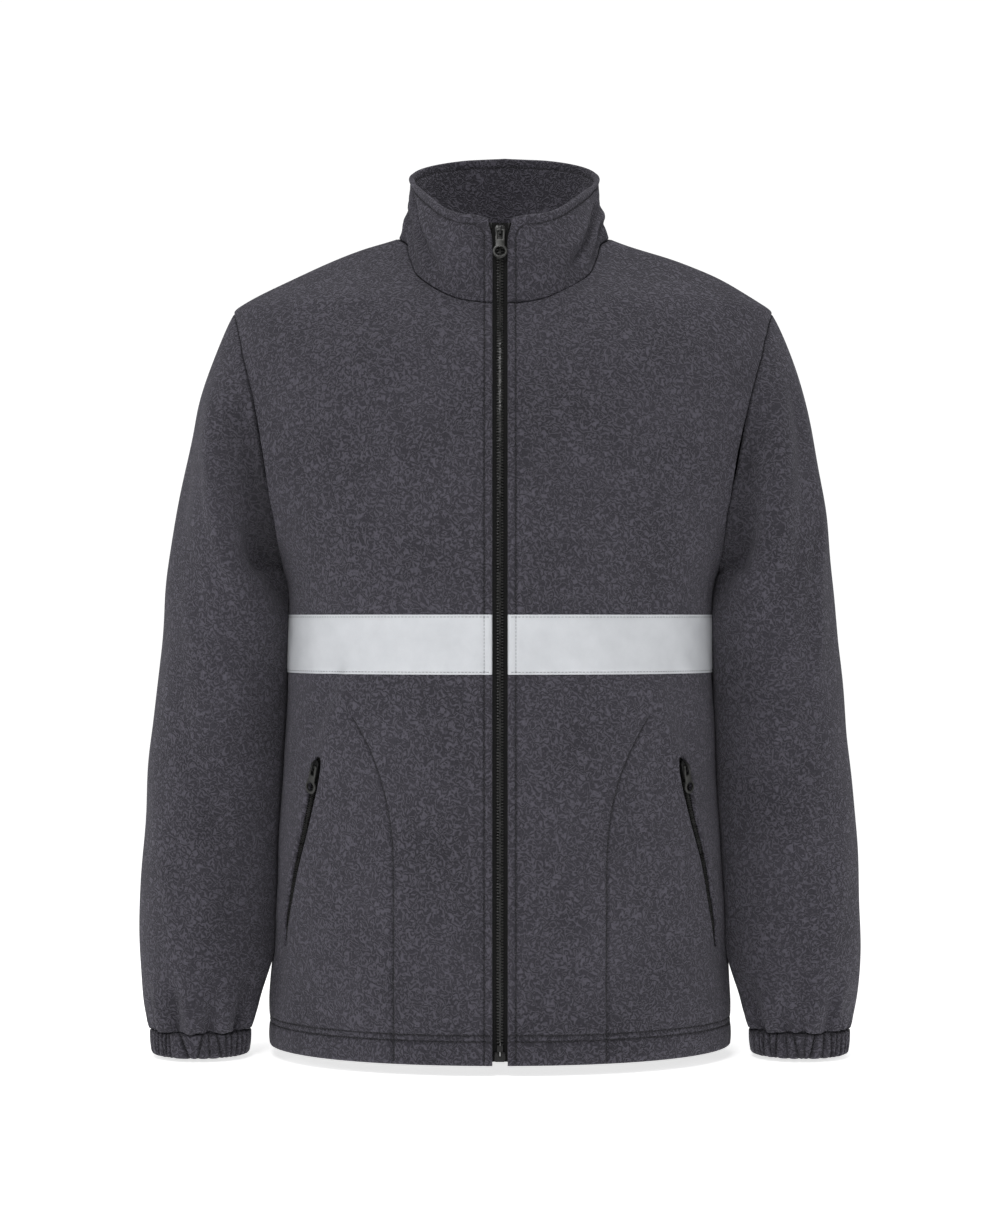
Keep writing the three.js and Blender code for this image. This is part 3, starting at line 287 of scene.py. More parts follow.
SLEEVE = np.array([
    # height, x, y, half width, half depth
    (-330, 241.5, 2, 53.3, 72), (-380, 245, 2, 55.4, 69), (-430, 248, 0, 57.5, 65),
    (-480, 251.5, -3, 58.3, 62),
    (-536, 254.6, -8, 58, 59.5), (-592, 257.4, -13, 57, 57), (-634, 259, -17, 54.5, 54),
    (-662, 260, -20, 51, 50),
    (-682, 260.7, -22, 46, 44), (-694, 261, -23, 42.5, 39),
])
SLEEVE_START_Z = -330
CUFF_TOP_Z = -691.5
SLEEVE_FOLDS = [
    # side, turn, height, to turn, to height, width, rise: a degree counts as a millimetre
    (-1, 138, -140, 52, -335, 13, 4.5), (-1, 112, -135, 38, -290, 12, -4.5),
    (-1, 160, -185, 108, -330, 12, -2.5),
    (1, 122, -135, 62, -300, 13, 4.5), (1, 104, -150, 40, -290, 11, -4), (1, 152, -130, 138, -270, 9, 3),
    (1, 136, -150, 108, -290, 9, -3), (-1, 225, -140, 305, -320, 13, 4), (1, 232, -145, 310, -310, 12, 4),
]


def section_point(z, turn):
    x, y, half_width, half_depth = (along(SLEEVE, z, column) for column in (1, 2, 3, 4))
    turn = np.radians(turn)
    return np.stack([x - half_width * np.cos(turn), y - half_depth * np.sin(turn), z + 0 * turn], -1)


def sleeve_point(side, down, turn):
    """The sleeve's outer face: down is 0 at the armhole, 1 at the first level section and 2 at the cuff."""
    down, turn = np.broadcast_arrays(np.asarray(down, float), np.asarray(turn, float))
    turn = (turn + 360) % 360
    on_back = turn > 180
    z, angle = armhole_at(np.where(on_back, turn - 180, 180 - turn), on_back)
    start = body_point(side, z, angle) * (side, 1, 1)
    end = section_point(np.full(turn.shape, float(SLEEVE_START_Z)), turn)
    reach = np.linalg.norm(end - start, axis=-1)
    lateral = (1 - np.cos(np.radians(turn))) / 2
    forward = -np.sin(np.radians(turn))
    leave = unit(np.stack([mix(0.95, 0.435, lateral**0.5), 0.3 * forward, -0.9 * lateral], -1))
    leave = leave * (reach * mix(1.25, 1, lateral))[..., None]
    arrive = unit(np.stack([0.1 * lateral, 0 * lateral, -1 + 0 * lateral], -1)) * reach[..., None]
    t = np.clip(down, 0, 1)[..., None]
    cap = (
        start * (2 * t**3 - 3 * t**2 + 1) + leave * (t**3 - 2 * t**2 + t)
        + end * (-2 * t**3 + 3 * t**2) + arrive * (t**3 - t**2)
    )
    arm = section_point(mix(SLEEVE_START_Z, CUFF_TOP_Z, np.maximum(down, 1) - 1), turn)
    point = np.where((down < 1)[..., None], cap, arm)
    height = point[..., 2]
    wave = np.sin(np.radians(9 * turn - 40)) + 0.5 * np.sin(np.radians(5 * turn + 70))
    grown = ease((height + 632) / (CUFF_TOP_Z + 632))
    rise = 1.9 * wave * grown * (1 - 0.45 * ease((height + 684) / (CUFF_TOP_Z + 684)))
    for fold_side, fold_turn, z, to_turn, to_z, width, amount in SLEEVE_FOLDS:
        if fold_side == side:
            rise = rise + fold_rise(turn, height, fold_turn, z, to_turn, to_z, width, amount)
    outward = np.stack([-np.cos(np.radians(turn)), -np.sin(np.radians(turn)), 0 * turn], -1)
    return (point + outward * (rise * ease(down / 0.35))[..., None]) * (side, 1, 1)


def sleeve_normal(side, down, turn):
    hint = np.stack([-side * np.cos(np.radians(turn)), -np.sin(np.radians(turn)), 0 * turn], -1)
    down = np.clip(down, 0.02, 1.999) + 0 * turn
    return normal_of(lambda a, b: sleeve_point(side, a, b), down, turn, 0.01, 1, hint)


def armhole_lean(side, turn, on_back):
    """At the armhole both pieces turn inwards together, halfway between their two normals."""
    z, angle = armhole_at(turn, on_back)
    round_arm = np.where(on_back, 180 + turn, 180 - turn)
    return unit(body_normal(side, z, angle) + sleeve_normal(side, 0.02 + 0 * turn, round_arm))


COLLAR_TOP = np.array([
    # angle, radius, height
    (0, 76, 6), (8, 76.5, 8), (16, 77.5, 10.5), (27, 79, 12.5), (40, 79, 19), (55, 78, 30), (75, 78, 42),
    (92, 83, 51), (106, 88, 59.5), (120, 87, 67.5), (133, 79.5, 73.5), (148, 71.5, 77.5), (163, 65.5, 79),
    (180, 63, 80),
])
COLLAR_FOLDS = [
    # side, angle, up, to angle, to up, width, rise
    (-1, 34, 0.35, 78, 0.95, 9, 2.2), (-1, 48, 0.3, 88, 0.8, 7, -2.2), (-1, 64, 0.25, 98, 0.65, 7, 2),
    (1, 38, 0.35, 80, 0.95, 9, 2.2), (1, 52, 0.3, 90, 0.8, 7, -2), (1, 68, 0.25, 100, 0.65, 7, 1.8),
]
COLLAR_ROW = 70


def collar_point(side, angle, up):
    angle, up = np.broadcast_arrays(np.asarray(angle, float), np.asarray(up, float))
    base = body_point(side, along(NECK_SEAM, angle, 1), angle)
    radius, top_z = along(COLLAR_TOP, angle, 1), along(COLLAR_TOP, angle, 2)
    outward = np.stack([side * np.sin(np.radians(angle)), -np.cos(np.radians(angle)), 0 * angle], -1)
    top = outward * radius[..., None]
    top = top + np.stack([1.2 * lean_at(top_z, angle), 0 * angle, top_z], -1)
    rise = (0.5 + 2 * np.cos(2 * np.radians(angle))) * np.sin(np.pi * up)
    for fold_side, x, y, to_x, to_y, width, height in COLLAR_FOLDS:
        if fold_side == side:
            fold = fold_rise(
                angle, up * COLLAR_ROW, x, y * COLLAR_ROW, to_x, to_y * COLLAR_ROW, width, height
            )
            rise = rise + fold * np.sin(np.pi * np.clip(up, 0, 1)) ** 0.6
    return mix(base, top, up[..., None]) + outward * rise[..., None]


def collar_normal(side, angle, up):
    hint = np.stack([side * np.sin(np.radians(angle)), -np.cos(np.radians(angle)), 0 * angle], -1)
    up = np.clip(up, 0.02, 0.98) + 0 * angle
    return normal_of(lambda a, b: collar_point(side, a, b), angle, up, 0.6, 0.02, hint)


def neck_lean(side, angle):
    return unit(
        body_normal(side, along(NECK_SEAM, angle, 1), angle) + collar_normal(side, angle, 0.02 + 0 * angle)
    )


def zip_edge(z):
    """The angle of a front's zip edge."""
    reach = -body_point(1, z, 0)[..., 1]
    return np.degrees(np.arcsin(ZIP_OPENING / 2 / reach))


def lines_between(start, end, step, seams):
    """Grid lines at an even step, and closer together beside every seam or stitch line."""
    close = np.array([seam + away for seam in seams for away in (-3.2, -1.8, -0.8, 0, 0.8, 1.8, 3.2)])
    close = close[(close >= start - 1e-6) & (close <= end + 1e-6)]
    close = close[np.concatenate([[True], np.diff(np.sort(close)) > 0.35])] if len(close) else close
    close = np.sort(close)
    even = np.linspace(start, end, int(math.ceil((end - start) / step)) + 1)
    if len(close):
        gap = np.abs(even[:, None] - close).min(1)
        even = even[gap > 0.55 * step]
    return np.unique(np.round(np.concatenate([even, close]), 4))


def distances(points):
    """How far each point of a grid lies from its first and last column and its first and last row."""
    across = np.linalg.norm(np.diff(points, axis=1), axis=-1)
    upward = np.linalg.norm(np.diff(points, axis=0), axis=-1)
    from_first = np.concatenate([np.zeros((len(points), 1)), np.cumsum(across, 1)], 1)
    from_bottom = np.concatenate([np.zeros((1, points.shape[1])), np.cumsum(upward, 0)], 0)
    return from_first, from_first[:, -1:] - from_first, from_bottom, from_bottom[-1:] - from_bottom


def rounded(distance, radius):
    """How far a rounded edge has turned down, at a distance from it."""
    short = np.clip(radius - distance, 0, radius)
    return np.sqrt(radius**2 - short**2) - radius


def groove(distance, depth, width):
    return -depth * np.exp(-((distance / width) ** 2))


def cloth(name, outer, inner, keep=None, ring=False, shade=None):
    """A closed piece of cloth: an outer face, an inner face, and a rim at every open edge.

    The shade is a painted shade, from 0 to 1, at each point of the outer face: it darkens the colour in
    seams, stitch grooves, folds and where pieces lie against each other.
    """
    rows, columns = outer.shape[:2]
    number = np.arange(rows * columns).reshape(rows, columns)
    beside = np.roll(number, -1, 1) if ring else number[:, 1:]
    number = number if ring else number[:, :-1]
    quads = np.stack([number[:-1], beside[:-1], beside[1:], number[1:]], -1)
    quads = quads[keep] if keep is not None else quads.reshape(-1, 4)
    corners = outer.reshape(-1, 3)[quads]
    facing = np.cross(corners[:, 2] - corners[:, 0], corners[:, 3] - corners[:, 1])
    outward = (outer - inner).reshape(-1, 3)[quads[:, 0]]
    if (facing * outward).sum() < 0:
        quads = quads[:, ::-1]
    edges = np.concatenate([quads[:, [k, (k + 1) % 4]] for k in range(4)])
    count = rows * columns
    key = edges.min(1).astype(np.int64) * count + edges.max(1)
    _, first, times = np.unique(key, return_index=True, return_counts=True)
    open_edges = edges[first[times == 1]]
    rim = np.stack(
        [open_edges[:, 1], open_edges[:, 0], open_edges[:, 0] + count, open_edges[:, 1] + count], -1
    )
    faces = np.concatenate([quads, quads[:, ::-1] + count, rim])
    points = np.concatenate([outer.reshape(-1, 3), inner.reshape(-1, 3)]) / 1000
    used, faces = np.unique(faces, return_inverse=True)
    mesh = bpy.data.meshes.new(name)
    mesh.from_pydata(points[used].tolist(), [], faces.reshape(-1, 4).tolist())
    mesh.shade_smooth()
    mesh.set_sharp_from_angle(angle=math.radians(55))
    # The painted shade is kept as a point attribute for the fleece's colour; the inner face gets 0.85 of it.
    if shade is not None:
        both = np.concatenate([shade.ravel(), 0.85 * shade.ravel()])
        mesh.attributes.new("painted_shade", "FLOAT", "POINT").data.foreach_set(
            "value", both[used].astype(np.float32)
        )
    piece = bpy.data.objects.new(name, mesh)
    bpy.context.scene.collection.objects.link(piece)
    return piece


# The charcoal fleece: short pile in close winding ridges about 2 mm apart, with lint and slow shade in it.
# The ridge pattern is the pile's own, but its colour follows the pile's height, lighter on the ridge tops and
# darker in the hollows, which is a painted shade. Each piece's painted shade darkens it further in seams and
# folds.
def effect(name, inputs, outputs):
    """An empty node group with named inputs and outputs."""
    tree = bpy.data.node_groups.new(name, "ShaderNodeTree")
    for label, kind, value in inputs:
        socket = tree.interface.new_socket(label, in_out="INPUT", socket_type="NodeSocket" + kind)
        if value is not None:
            socket.default_value = value
    for label, kind in outputs:
        tree.interface.new_socket(label, in_out="OUTPUT", socket_type="NodeSocket" + kind)
    return tree, tree.nodes.new("NodeGroupInput").outputs, tree.nodes.new("NodeGroupOutput").inputs


def material(name, roughness, metallic=0.0):
    made = bpy.data.materials.new(name)
    made.use_nodes = True
    shader = made.node_tree.nodes["Principled BSDF"]
    shader.inputs["Roughness"].default_value = roughness
    shader.inputs["Metallic"].default_value = metallic
    place = add_node(made.node_tree, "TexCoord").outputs["Object"]
    return made, made.node_tree, shader, place


pile, given, out = effect(
    "pile",
    [("Place", "Vector", None), ("Dark", "Color", (0.03, 0.028, 0.034, 1)),
     ("Light", "Color", (0.1, 0.095, 0.11, 1)),
     ("Ridges per Metre", "Float", 190.0), ("Seam", "Float", 0.0)],
    [("Color", "Color"), ("Height", "Float"), ("Roughness", "Float")],
)
wander = add_node(pile, "TexNoise", {
    "Vector": given["Place"], "Scale": given["Ridges per Metre"], "Detail": 1.0, "Roughness": 0.5,
    "Distortion": 0.5
})
across = add_node(pile, "VectorMath", {0: given["Place"], 1: (1.9, 2.3, 3.4)}, operation="DOT_PRODUCT")
straight = add_node(
    pile, "Math", {0: across.outputs["Value"], 1: given["Ridges per Metre"]}, operation="MULTIPLY"
)
turns = add_node(
    pile, "Math", {0: wander.outputs["Fac"], 1: 27.0, 2: straight.outputs[0]}, operation="MULTIPLY_ADD"
)
ridge = add_node(pile, "Math", {0: turns.outputs[0]}, operation="SINE")
ridge = add_node(pile, "MapRange", {"Value": ridge.outputs[0], "From Min": -0.5, "From Max": 1.0,
                                    "To Min": 0.0, "To Max": 1.0})
fibre_size = add_node(pile, "Math", {0: given["Ridges per Metre"], 1: 7.0}, operation="MULTIPLY")
fibre = add_node(pile, "TexNoise", {"Vector": given["Place"], "Scale": fibre_size.outputs[0], "Detail": 2.0})
patch = add_node(pile, "TexNoise", {"Vector": given["Place"], "Scale": 14.0, "Detail": 3.0, "Roughness": 0.6})
fibre_part = add_node(pile, "Math", {0: fibre.outputs["Fac"], 1: 0.45}, operation="MULTIPLY")
height = add_node(
    pile, "Math", {0: ridge.outputs[0], 1: 0.75, 2: fibre_part.outputs[0]}, operation="MULTIPLY_ADD"
)
patch_part = add_node(pile, "MapRange", {"Value": patch.outputs["Fac"], "From Min": 0.3, "From Max": 0.7,
                                         "To Min": -0.10, "To Max": 0.10})
shade = add_node(pile, "Math", {0: height.outputs[0], 1: patch_part.outputs[0]}, operation="ADD")
# Painted shade: the tone follows the pile's height, darker in the hollows between the ridges, plus slow
# random patches.
tone = add_node(
    pile, "Mix", {"Factor": shade.outputs[0], "A": given["Dark"], "B": given["Light"]}, data_type="RGBA"
)
# Painted shade: the colour is scaled down towards 0.3 of its tone as the piece's painted shade goes from 0 to
# 1.
sunk = add_node(pile, "MapRange", {"Value": given["Seam"], "To Min": 1.0, "To Max": 0.3})
shaded_tone = add_node(
    pile, "VectorMath", {0: tone.outputs["Result"], "Scale": sunk.outputs["Result"]}, operation="SCALE"
)
pile.links.new(shaded_tone.outputs["Vector"], out["Color"])
pile.links.new(height.outputs[0], out["Height"])
rough = add_node(pile, "MapRange", {"Value": height.outputs[0], "To Min": 0.95, "To Max": 0.78})
pile.links.new(rough.outputs["Result"], out["Roughness"])


def group_node(tree, group, sockets):
    made = tree.nodes.new("ShaderNodeGroup")
    made.node_tree = group
    for socket, value in sockets.items():
        if isinstance(value, bpy.types.NodeSocket):
            tree.links.new(value, made.inputs[socket])
        else:
            made.inputs[socket].default_value = value
    return made.outputs


fleece, tree, shader, place = material("fleece", 0.9)
# Each piece's painted shade, which darkens the fleece in seams, folds and where pieces touch.
shade_attribute = add_node(tree, "Attribute", attribute_name="painted_shade").outputs["Fac"]
shown = group_node(tree, pile, {"Place": place, "Seam": shade_attribute, "Dark": (0.0150, 0.0141, 0.0180, 1),
                                "Light": (0.072, 0.0675, 0.0850, 1)})
tree.links.new(shown["Color"], shader.inputs["Base Color"])
tree.links.new(shown["Roughness"], shader.inputs["Roughness"])
relief = add_node(tree, "Bump", {"Height": shown["Height"], "Strength": 1.0, "Distance": 0.0013})
tree.links.new(relief.outputs["Normal"], shader.inputs["Normal"])
shader.inputs["Specular IOR Level"].default_value = 0.2
shader.inputs["Sheen Weight"].default_value = 0.14
shader.inputs["Sheen Roughness"].default_value = 0.6
shader.inputs["Sheen Tint"].default_value = (0.78, 0.76, 0.86, 1)

# The panels of the body lie on a grid of heights and angles. A front's columns also follow its pocket slit.
POCKET = {"top_z": -452, "top_angle": 58.9, "bottom_z": -616, "bottom_angle": 73.2}
SLIT_WIDTHS = (
    (0, 4.8), (0.02, 7.8), (0.045, 9.0), (0.12, 8.4), (0.3, 7.2), (0.6, 5.8), (0.97, 4.2), (1, 2.6)
)
BAG_EDGE_X = 89
BODY_REACH = 165
SHOULDER_SHARE = {0: 8 / 14, 1: 0.5}
NECK_Z = {0: -65, 1: 10.5}
PANEL_WIDTH = 258


def slit_angles(z):
    """The two edges of a front's pocket slit at a height, with a hair's width outside its ends."""
    run = (z - POCKET["top_z"]) / (POCKET["bottom_z"] - POCKET["top_z"])
    inside = (run > -1e-6) & (run < 1 + 1e-6)
    held = np.clip(run, 0, 1)
    angle = mix(POCKET["top_angle"], POCKET["bottom_angle"], held)
    width = np.where(inside, np.interp(held, *zip(*SLIT_WIDTHS)), 1.6)
    half = np.degrees(width / 2 / BODY_REACH)
    return angle - half, angle + half, inside


def bag_edge(z):
    """The stitched edge of the pocket bag on a front: upright above the hem, then curving out to the side."""
    return BAG_EDGE_X + 38 * np.maximum(0, (z + 560) / 146) ** 2.5


def bag_angle(z):
    """The angle at which the bag's stitched edge lies, held still above its top end."""
    z = np.minimum(z, -414.0)
    reach = np.hypot(*np.moveaxis(body_point(1, z, 45)[..., :2], -1, 0))
    angle = np.degrees(np.arcsin(np.clip(bag_edge(z) / reach, 0, 0.95)))
    for _ in range(8):
        angle = angle + np.degrees((bag_edge(z) - body_point(1, z, angle)[..., 0]) / reach)
    return angle


def panel_grid(on_back, step):
    """Height and angle of every point of half a body panel, and which cells are cloth."""
    low = lines_between(HEM_Z, UNDERARM_Z, step, (HEM_Z, *HEM_STITCH_Z, *BAND_Z, -616, -452))
    high = lines_between(0, 246, step, (0, 246))[1:] / 246
    z_inner = np.concatenate([low, mix(UNDERARM_Z, NECK_Z[on_back], high)])
    s = np.concatenate([0 * low, high])[:, None]
    edge = np.full(z_inner.shape, 180.0) if on_back else zip_edge(np.minimum(z_inner, NECK_FRONT_Z))
    base = lines_between(
        0, PANEL_WIDTH, step, (0, PANEL_WIDTH) if on_back else (0, 6.8, PANEL_WIDTH)
    ) / PANEL_WIDTH
    share = SHOULDER_SHARE[on_back]
    cell = None
    if on_back:
        u = np.broadcast_to(base, (len(z_inner), len(base)))
    else:
        # Near the zip the columns keep their distance from it, and further out two of them edge the slit.
        top_low, top_high, _ = slit_angles(np.array([-452.0]))
        top_edge = zip_edge(np.array([-452.0]))
        knots = (
            np.array([bag_angle(np.array(-414.0)), top_low[0], top_high[0]]) - top_edge
        ) / (90 - top_edge)
        near = np.abs(base[:, None] - knots).min(1)
        beside = np.concatenate([
            knots[0] + np.array((-4.2, -2.5, -1.5, -0.8, 0, 0.8, 1.5, 2.5, 4.2)) / PANEL_WIDTH,
            knots[1] - np.array((0, 1, 2.4)) / PANEL_WIDTH,
            knots[2] + np.array((0, 1, 2.4)) / PANEL_WIDTH,
        ])
        away = near > np.where(np.abs(base - knots[0]) < 0.05, 5.4, 2.9) / PANEL_WIDTH
        base = np.unique(np.concatenate([base[away & ((base < knots[1]) | (base > knots[2]))], beside]))
        low_edge, high_edge, inside = slit_angles(np.where(s[:, 0] > 0, -452.0, z_inner))
        scale = (90 - edge) * mix(1, 1 / share, s[:, 0])
        near_zip = np.degrees(24 / -body_point(1, z_inner, 0)[:, 1]) / scale
        of_bag = np.where(s[:, 0] > 0, knots[0], (bag_angle(z_inner) - edge) / (90 - edge))
        lower = np.where(s[:, 0] > 0, knots[1], (low_edge - edge) / (90 - edge))
        upper = np.where(s[:, 0] > 0, knots[2], (high_edge - edge) / (90 - edge))
        u = np.stack([
            np.interp(base, [0, 24 / PANEL_WIDTH, *knots, 1], [0, a, b, c, d, 1])
            for a, b, c, d in zip(near_zip, of_bag, lower, upper)
        ])
        slit_column = int(np.argmin(np.abs(base - knots[1])))
        cell = np.ones((len(z_inner) - 1, len(base) - 1), bool)
        open_row = inside[:-1] & inside[1:] & (s[1:, 0] == 0)
        cell[open_row, slit_column] = False
    start_z, start_angle = UNDERARM_Z, mix(edge[len(low) - 1], 90, u)
    edge_top = edge[-1]
    neck_angle = mix(edge_top, 90, np.minimum(u / share, 1))
    end_z = np.where(
        u <= share, along(NECK_SEAM, neck_angle, 1), mix(0, SHOULDER_TIP_Z, (u - share) / (1 - share))
    )
    inner_top = along(NECK_SEAM, edge_top, 1)
    middle_z = mix(UNDERARM_Z, inner_top, s)
    outer_z, outer_angle = armhole_at(180 - 180 * s, on_back)
    inner_angle = (zip_edge(middle_z) if not on_back else 180.0 + 0 * middle_z)
    z = (
        (1 - s) * start_z + s * end_z + (1 - u) * middle_z + u * outer_z
        - ((1 - s) * UNDERARM_Z + (1 - u) * s * inner_top + u * s * SHOULDER_TIP_Z)
    )
    angle = (
        (1 - s) * start_angle + s * neck_angle + (1 - u) * inner_angle + u * outer_angle
        - ((1 - u) * (1 - s) * edge[len(low) - 1] + u * (1 - s) * 90 + (1 - u) * s * edge_top + u * s * 90)
    )
    is_low = s == 0
    z = np.where(is_low, z_inner[:, None], z)
    angle = np.where(is_low, mix(edge[:, None], 90, u), angle)
    return z, angle, s, u, cell, len(low)


def hem_pucker(points):
    """The hem draws up a little between its stitches."""
    run = np.arctan2(points[..., 0], -points[..., 1]) * BODY_REACH
    wave = np.sin(run / 2.9) + 0.6 * np.sin(run / 4.7 + 1)
    low = (points[..., 2] - HEM_Z) / 25.5
    return 0.22 * wave * np.sin(np.pi * np.clip(low, 0, 1)) ** 0.5


def half_panel(side, on_back, step=3.1):
    """Outer and inner points of half a body panel, with its cells and its painted shade."""
    z, angle, s, u, cells, low_rows = panel_grid(on_back, step)
    points = body_point(side, z, angle)
    normal = body_normal(side, z, angle)
    lean = normal.copy()
    from_first, from_last, from_bottom, from_top = distances(points)
    high = np.arange(low_rows, len(z))
    arm = armhole_lean(side, 180 - 180 * s[high, 0], on_back)[:, None]
    lean[high] = mix(arm, lean[high], ease(from_last[high] / 8)[..., None])
    share = SHOULDER_SHARE[on_back]
    at_neck = u[-1] <= share + 1e-9
    neck = neck_lean(side, np.where(at_neck, angle[-1], 90.0))[None]
    weight = np.where(at_neck, 1 - ease(from_top / 8), 0)[..., None]
    lean = unit(mix(lean, neck, weight))
    soft = body_rise(side, on_back, points)
    crisp = rounded(from_last, 1.5) + rounded(from_top, 1.4) + rounded(from_bottom, 2.2) + hem_pucker(points)
    crisp = crisp - 0.5 * np.exp(-from_last / 5) * (0.6 + 0.4 * np.sin(from_bottom / 4.1))
    # Painted shade: darker along the side, armhole, neck and shoulder seams and in the grooves of the hem,
    # zip and pocket-bag stitch lines.
    shade_paint = 0.6 * np.exp(-((from_last / 1.1) ** 2)) + 0.2 * np.exp(-((from_top / 1.0) ** 2))
    for stitch_z in HEM_STITCH_Z:
        crisp = crisp + groove(z - stitch_z, 1.1, 1.05)
        shade_paint = shade_paint - groove(z - stitch_z, 0.8, 0.9)
    if not on_back:
        x = side * points[..., 0]
        crisp = crisp + rounded(from_first, 2.0) + groove(x - ZIP_STITCH_X, 1.1, 1.05)
        crisp = crisp + 0.3 * np.exp(-(((x - 9.8) / 2.2) ** 2))
        shade_paint = shade_paint - groove(x - ZIP_STITCH_X, 0.8, 0.95)
        slope = 95 / 146 * np.maximum(0, (z + 560) / 146) ** 1.5
        away = (x - bag_edge(z)) / np.sqrt(1 + slope**2)
        crisp = crisp + groove(away, 1.1, 1.05) * ease((-408 - z) / 14)
        shade_paint = shade_paint - groove(away, 0.75, 0.9) * ease((-408 - z) / 14)
        low_edge, high_edge, inside = slit_angles(z)
        from_slit = np.radians(np.maximum(low_edge - angle, angle - high_edge)) * BODY_REACH
        run = np.clip((z + 452) / -164, 0, 1)
        ends = ease(run / 0.02) * ease((1 - run) / 0.02)
        from_slit = np.maximum(from_slit, 0)
        crisp = crisp + np.where(
            inside, rounded(from_slit, 2.1) + 0.5 * np.exp(-((from_slit - 3.4) / 3) ** 2) * ends, 0
        )
    thickness = mix(DOUBLE_FLEECE, FLEECE, ease((z - HEM_STITCH_Z[0]) / 4)) + rounded(from_bottom, 2.2)
    plain = points + normal * soft[..., None]
    outer = plain + normal * crisp[..., None]
    inner = plain - lean * thickness[..., None]
    for grid in (outer, inner):
        grid[:, -1] += unit(grid[:, -2] - grid[:, -1]) * SEAM_GAP / 2
        grid[-1] += unit(grid[-2] - grid[-1]) * SEAM_GAP / 2
    return outer, inner, cells, np.clip(shade_paint, 0, 1)


def stitch_row(path, outward, pitch=3.0, length=2.3, thick=0.26, sunk=0.0):
    """Short threads laid end to end along a path on the cloth, each dipping in at both ends."""
    steps = np.linalg.norm(np.diff(path, axis=0), axis=-1)
    run = np.concatenate([[0], np.cumsum(steps)])
    middles = np.arange(pitch / 2, run[-1] - pitch / 2, pitch)
    rings = np.array([(-0.5, -0.9, 0.35), (-0.3, 0.25, 1.0), (0.3, 0.25, 1.0), (0.5, -0.9, 0.35)])
    at = (middles[:, None] + rings[:, 0] * length).ravel()
    centre = np.stack([np.interp(at, run, path[:, k]) for k in range(3)], -1)
    normal = unit(np.stack([np.interp(at, run, outward[:, k]) for k in range(3)], -1))
    ahead = np.stack(
        [np.interp(at + 0.5, run, path[:, k]) - np.interp(at - 0.5, run, path[:, k]) for k in range(3)], -1
    )
    across = unit(np.cross(unit(ahead), normal))
    centre = centre + normal * (np.tile(rings[:, 1], len(middles)) * thick - sunk)[:, None]
    radius = np.tile(rings[:, 2], len(middles))[:, None, None] * thick
    turn = np.radians(np.arange(5) * 72)
    circle = across[:, None] * np.cos(turn)[None, :, None] + normal[:, None] * np.sin(turn)[None, :, None]
    verts = (centre[:, None] + circle * radius).reshape(-1, 3)
    first = (np.arange(len(middles)) * 20)[:, None, None] + (np.arange(3) * 5)[None, :, None]
    k = np.arange(5)[None, None]
    sides = np.stack(
        [first + k, first + (k + 1) % 5, first + 5 + (k + 1) % 5, first + 5 + k], -1
    ).reshape(-1, 4)
    start = (np.arange(len(middles)) * 20)[:, None]
    caps = np.concatenate([start + np.arange(5)[::-1], start + 15 + np.arange(5)])
    return verts, sides, caps


def thread_piece(name, stitched):
    """All the rows of stitching of one piece, as one mesh."""
    verts, faces, count = [], [], 0
    for points, sides, caps in stitched:
        verts.append(points)
        faces += (sides + count).tolist() + (caps + count).tolist()
        count += len(points)
    mesh = bpy.data.meshes.new(name)
    mesh.from_pydata((np.concatenate(verts) / 1000).tolist(), [], faces)
    mesh.shade_smooth()
    piece = bpy.data.objects.new(name, mesh)
    bpy.context.scene.collection.objects.link(piece)
    piece.data.materials.append(thread)
    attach(piece, "jacket")
    return piece


def on_body(side, on_back, z, angle, lift):
    """Places on the dressed body, lifted off its cloth, and their normals."""
    points = body_point(side, z, angle)
    normal = body_normal(side, z, angle)
    return points + normal * (body_rise(side, on_back, points) + lift)[..., None], normal


thread, tree, shader, place = material("thread", 0.7)
lint = add_node(tree, "TexNoise", {"Vector": place, "Scale": 900.0, "Detail": 1.0})
tint = add_node(tree, "Mix", {"Factor": lint.outputs["Fac"],
                              "A": (0.007, 0.0066, 0.008, 1), "B": (0.02, 0.019, 0.023, 1)},
                data_type="RGBA")
tree.links.new(tint.outputs["Result"], shader.inputs["Base Color"])
relief = add_node(tree, "Bump", {"Height": lint.outputs["Fac"], "Strength": 0.4, "Distance": 0.0002})
tree.links.new(relief.outputs["Normal"], shader.inputs["Normal"])

for side, word in ((-1, "right"), (1, "left")):
    outer, inner, cells, shade_paint = half_panel(side, 0)
    front = cloth(f"fleece_front_{word}", outer, inner, cells, shade=shade_paint)
    front.data.materials.append(fleece)
    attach(front, "jacket")
    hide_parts(f"front_{word}")

    rows = []
    for stitch_z in HEM_STITCH_Z:
        angle = np.linspace(zip_edge(np.array(stitch_z)) + 0.6, 89.5, 200)
        rows.append(stitch_row(*on_body(side, 0, np.full(200, stitch_z), angle, np.full(200, -0.55))))
    z = np.concatenate([np.linspace(-704, NECK_FRONT_Z - 1, 300)])
    angle = np.degrees(np.arcsin(ZIP_STITCH_X / -body_point(1, z, 0)[:, 1]))
    rows.append(stitch_row(*on_body(side, 0, z, angle, 0 * z - 0.55)))
    z = np.linspace(-704, -416, 160)
    reach = np.hypot(*body_point(1, z, 45)[:, :2].T)
    angle = np.degrees(np.arcsin(np.clip(bag_edge(z) / reach, 0, 0.95)))
    for _ in range(6):
        angle = angle + np.degrees((bag_edge(z) - side * body_point(side, z, angle)[:, 0]) / reach)
    rows.append(stitch_row(*on_body(side, 0, z, angle, 0 * z - 0.5)))
    stitches = thread_piece(f"stitches_front_{word}", rows)

